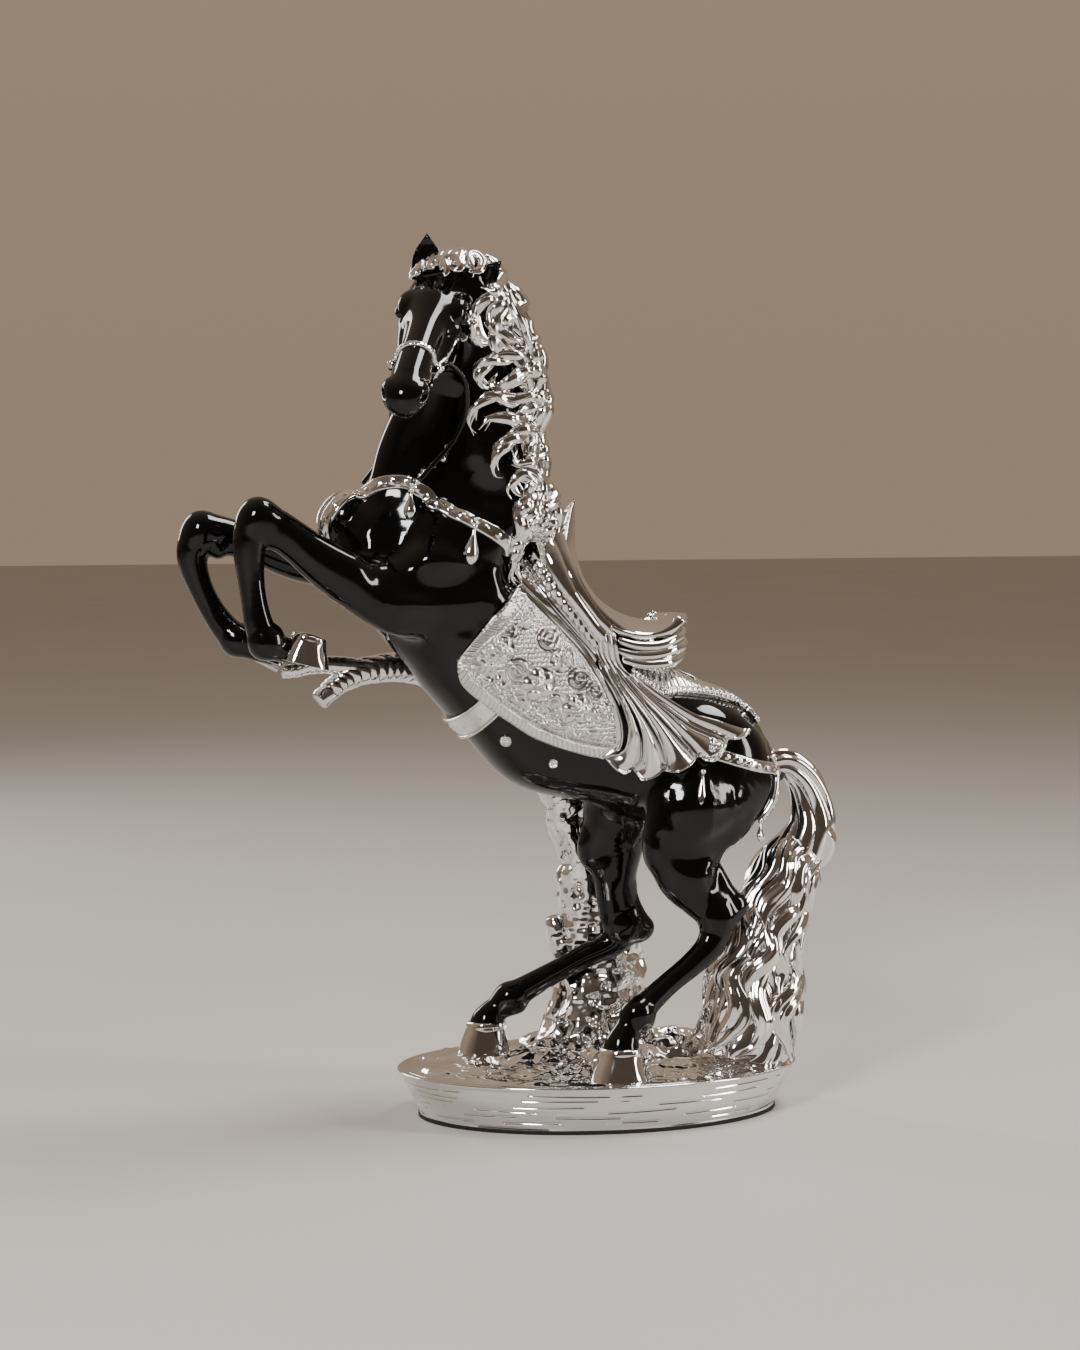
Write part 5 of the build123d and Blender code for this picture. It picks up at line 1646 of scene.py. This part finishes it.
def make_collar():
    near = [(-164, -5, 348), (-158, -8, 360), (-150, -10, 372), (-140, -22, 379), (-128, -33, 380),
            (-119, -38, 376), (-108, -41, 371), (-95, -43, 363), (-82, -44, 355), (-68, -44, 345),
            (-57, -44, 334)]
    far = [(x, 2 * MID - y, z) for x, y, z in near]
    shape = Shape()
    path, out = on_body(near[::-1] + far[1:], 0.2, 300)
    ribbon(shape, path, out, 8.5, 2.0, studded, 17)
    hangers = []
    for spot in ((-124, -38, 379), (-87, -44, 358)):
        for flank in (-1, 1):
            at = np.array([spot[0], MID + flank * abs(spot[1] - MID), spot[2]])
            k = int(np.linalg.norm(path - at, axis=1).argmin())
            hangers.append((path[k], out[k], flank))
            bead(shape, path[k] + out[k] * 1.6, out[k], (3.3, 3.3, 2.2), 28, 14)
            bead(shape, path[k] + out[k] * 3.2, out[k], (1.6, 1.6, 1.6), 20, 10)
    # the silver beads where the near rein meets the collar
    for place in evenly(np.array([(-103, -40, 400), (-112, -40, 389), (-121, -39, 380)], float), 7):
        place = horse.settle(place[None], 1.8, rounds=8)[0]
        bead(shape, place, horse.normals(place[None])[0], (2.0, 2.0, 1.8), 20, 10)
    finish_piece(shape.piece("tack_collar"), PLATE_TACK, "plated_tack", "breast_collar")
    drops = Shape()
    for k, (at, n, flank) in enumerate(hangers):
        length, width, lean = ((17, 7.5, -0.1), (23, 8.5, -0.14))[k // 2]
        top = at + n * 2.6 - np.array([0, 0, 3.5])
        teardrop(drops, top, n, length, width, 5.0, unit(np.array([lean, flank * 0.12, -1.0])))
        bead(drops, top, n, (2.0, 2.0, 1.8), 20, 10)
    finish_piece(drops.piece("tack_collar_drops"), PLATE_TACK, "plated_tack", "breast_pendants")


def make_girth():
    shape = Shape()
    path, out = band_round((-65, MID, 262), (-0.75, 0, 0.66), -75, 75, 160, 0.2, toward=(0, 0, -1))
    ribbon(shape, path, out, 12.5, 2.0, studded, 21)
    for edge in (-1, 1):
        side = np.cross(unit(np.gradient(path, axis=0)), out)
        ribbon(shape, path + side * edge * 6.6, out, 1.8, 2.8, twisted, 7)
    finish_piece(shape.piece("tack_girth"), PLATE_TACK, "plated_tack", "girth")


def make_breeching():
    shape, drops = Shape(), Shape()
    for flank in (-1, 1):
        def far(rows):
            return [(x, MID + flank * abs(y - MID), z) for x, y, z in rows]
        round_rump = [(50, -46, 221), (64, -44, 216), (80, -40, 211), (95, -30, 207), (107, -16, 203)]
        path, out = on_body(far(round_rump), 0.2, 120)
        ribbon(shape, path, out, 7.5, 2.0, studded, 15)
        down_rump = [(99, -26, 214), (101, -24, 205), (99, -26, 195), (96, -30, 184), (92, -33, 174)]
        path, out = on_body(far(down_rump), 0.6, 100)
        ribbon(shape, path, out, 5.0, 2.2, studded, 13)
        for at, length, lean in (((50, -48, 207), 24, -0.12), ((91, -36, 176), 13, -0.05)):
            at = np.array(far([at])[0])
            place, n = on_body([at, at + [0, 0, -6]], 2.4, 3)
            teardrop(drops, place[0], n[0], length, 7.5, 4.4, unit([lean, flank * 0.1, -1.0]))
            bead(drops, place[0], n[0], (1.8, 1.8, 1.6))
    finish_piece(shape.piece("tack_breeching"), PLATE_TACK, "plated_tack", "breeching_strap")
    finish_piece(drops.piece("tack_breeching_drops"), PLATE_TACK, "plated_tack", "breeching_pendants")


def make_rosettes():
    shape = Shape()
    for (x, z), r in (((54, 221), 7.6), ((-66, 228), 3.4), ((-38, 214), 2.6)):
        for flank in (-1, 1):
            at = drape_on(np.array([float(x)]), np.array([float(z)]), flank, 4.6 if r > 6 else 0.6)[0]
            n = horse.normals(at[None])[0]
            across = unit(np.cross(n, [0, 0, 1]))
            rise = np.cross(across, n)
            d = np.linspace(0.001, 1, 26)[:, None] * r
            a = full_turn(90)[None]
            h = (0.25 * r + rosette(d * np.cos(a), d * np.sin(a), r, 6, 0.3, 0.3 * r)
                 + 0.6 * np.exp(-((d - r * 0.93) / 0.5) ** 2))
            rim = (at + across * (d * np.cos(a))[..., None] + rise * (d * np.sin(a))[..., None]
                   + n * h[..., None])
            foot = rim[-1] - n * 6
            shape.tube(np.vstack([rim, foot[None]]))
    finish_piece(shape.piece("tack_rosettes"), PLATE_TACK, "plated_tack", "strap_rosettes")


def head_ring(along, first, last, count, lift):
    """A path round the head at one distance along it, starting from the face."""
    angle = np.radians(np.linspace(first, last, count))
    centre = on_head(along, 14)
    ray = FACE * np.cos(angle)[:, None] + RIGHT * np.sin(angle)[:, None]
    path = horse.reach(centre + ray * 34, -ray, lift, rounds=34)
    return path, horse.normals(path)


def make_bridle():
    shape = Shape()
    path, out = head_ring(74, -168, 168, 170, 0.1)
    ribbon(shape, path, out, 3.4, 1.2, lambda run, off: 0.4 * np.abs(np.sin(run * 1.1)), 11)
    for side in (-1, 1):
        ring = horse.settle(on_head(76, 14, side * 14)[None], 1.5, rounds=12)[0]
        n = horse.normals(ring[None])[0]
        bead(shape, ring, n, (3.0, 3.0, 2.0))
        bead(shape, ring + n * 1.2, n, (1.5, 1.5, 1.8))
    finish_piece(shape.piece("tack_noseband"), PLATE_TACK, "plated_tack", "noseband")
    shape = Shape()
    for side in (-1, 1):
        for rows in (((6, 22, 19), (22, 23, 19), (40, 23, 17.5), (58, 19, 15), (74, 14, 13)),
                     ((40, 24, 17), (56, 28, 14), (72, 25, 12), (84, 20, 11))):
            path, out = on_body([on_head(a, b, side * r) for a, b, r in rows], 0.1, 110)
            ribbon(shape, path, out, 1.8, 0.9, lambda run, off: 0.25 * np.abs(np.sin(run * 1.3)), 9)
    finish_piece(shape.piece("tack_cheeks"), PLATE_TACK, "plated_tack", "cheek_straps")


def make_reins():
    near = [on_head(77, 16, -14), (-110, -68, 447), (-100, -56, 443), (-93, -48, 434), (-92, -43, 420),
            (-98, -40, 404), (-108, -39, 392), (-119, -39, 380)]
    far = [on_head(77, 16, 14), (-137, -52, 447), (-131, -32, 441), (-126, -14, 430), (-125, -2, 414),
           (-128, 6, 398), (-135, 12, 386), (-141, 14, 378)]
    shape = Shape()
    for route in (near, far):
        path = evenly(smooth_rows(np.array(route, float), 2.0), 150)
        inside = horse.distance(path) < 1.8
        path[inside] = horse.settle(path[inside], 1.8, rounds=6, most=2)
        for _ in range(4):
            path[1:-1] = (path[:-2] + 2 * path[1:-1] + path[2:]) / 4
        shape.tube(limb_grid([(*p, 2.0, 1.5) for p in path], 18, 1.0))
    finish_piece(shape.piece("black_reins"), BLACK, "black_lacquer", "reins")


# ---- everything in its place ----
for _name, _piece in cast_horse().items():
    finish_piece(_piece, BLACK, "black_lacquer", _name)
make_base()
make_ground()
make_tree()
for _hoof in HOOVES:
    make_hoof(*_hoof)
make_ear("right_ear", (-110, -21, 496), (-109, -18, 523.5), 8.0, 5.4, (-0.5, -1, 0.2))
make_ear("left_ear", (-86, -33, 489), (-69.5, -38, 507), 6.8, 5.0, (-0.5, -1, 0.2))
make_eyes()
make_mane()
make_forelock()
make_tail()
make_seat()
make_skirts()
for _name, _flank in (("left", -1), ("right", 1)):
    make_blanket(_name + "_blanket", _flank)
    make_drape(_name + "_drape", _flank)
make_rear_drape()
make_collar()
make_girth()
make_breeching()
make_rosettes()
make_bridle()
make_reins()

for _name, _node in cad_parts.items():
    if _node.type == "MESH":
        _node.data.materials.clear()
        _node.data.materials.append(FELT if _name == "felt_pad" else ZINC)


# ---- floor, light and camera ----
def aimed(thing, place, target):
    thing.location = place
    thing.rotation_euler = (Vector(target) - Vector(place)).to_track_quat("-Z", "Y").to_euler()


def soft_light(name, place, target, wide, tall, power, tint=(1, 1, 1)):
    data = bpy.data.lights.new(name, "AREA")
    data.shape = "RECTANGLE"
    data.size, data.size_y, data.energy, data.color = wide, tall, power, tint
    lamp = bpy.data.objects.new(name, data)
    bpy.context.scene.collection.objects.link(lamp)
    aimed(lamp, place, target)


def make_floor():
    mesh = bpy.data.meshes.new("floor")
    mesh.from_pydata([(-9, -9, 0), (9, -9, 0), (9, 9, 0), (-9, 9, 0)], [], [(0, 1, 2, 3)])
    mesh.materials.append(paint("floor_paint", (0.52, 0.5, 0.47)))
    floor = link("floor", mesh)


def make_room():
    """A beige room, darker towards the front, so that the silver and the black mirror something dark."""
    room = bpy.data.worlds.new("room")
    bpy.context.scene.world = room
    room.use_nodes = True
    nodes, links = room.node_tree.nodes, room.node_tree.links
    sky = nodes["Background"]
    sky.inputs["Strength"].default_value = 0.75
    way = nodes.new("ShaderNodeTexCoord")
    split = nodes.new("ShaderNodeSeparateXYZ")
    links.new(way.outputs["Generated"], split.inputs[0])
    wall = nodes.new("ShaderNodeValToRGB")
    wall.color_ramp.elements[0].color = (0.42, 0.31, 0.22, 1)
    wall.color_ramp.elements[1].color = (0.6, 0.47, 0.36, 1)
    links.new(split.outputs["Z"], wall.inputs["Fac"])
    depth = nodes.new("ShaderNodeMapRange")
    for name, value in (("From Min", -0.75), ("From Max", 0.35), ("To Min", 0.22), ("To Max", 1.0)):
        depth.inputs[name].default_value = value
    links.new(split.outputs["Y"], depth.inputs["Value"])
    shade = nodes.new("ShaderNodeVectorMath")
    shade.operation = "SCALE"
    links.new(wall.outputs["Color"], shade.inputs[0])
    links.new(depth.outputs["Result"], shade.inputs["Scale"])
    links.new(shade.outputs["Vector"], sky.inputs["Color"])


def make_camera(place, target):
    lens = bpy.data.cameras.new("camera")
    lens.lens, lens.sensor_width = 88.9, 36
    camera = bpy.data.objects.new("camera", lens)
    bpy.context.scene.collection.objects.link(camera)
    aimed(camera, place, target)
    bpy.context.scene.camera = camera


make_floor()
CENTRE = (-0.03, 0.0, 0.26)
soft_light("key", (-1.1, -1.5, 1.3), CENTRE, 0.34, 0.5, 34)
soft_light("side", (1.6, -0.9, 0.8), CENTRE, 0.28, 1.1, 20, (1, 0.97, 0.92))
soft_light("top", (0.7, 0.1, 1.8), CENTRE, 0.8, 0.5, 26)
soft_light("rear", (-1.0, 1.7, 1.0), CENTRE, 0.6, 1.0, 16)

make_room()
make_camera((-0.5502, -1.9181, 0.4025), (-0.0338, 0.0091, 0.263))
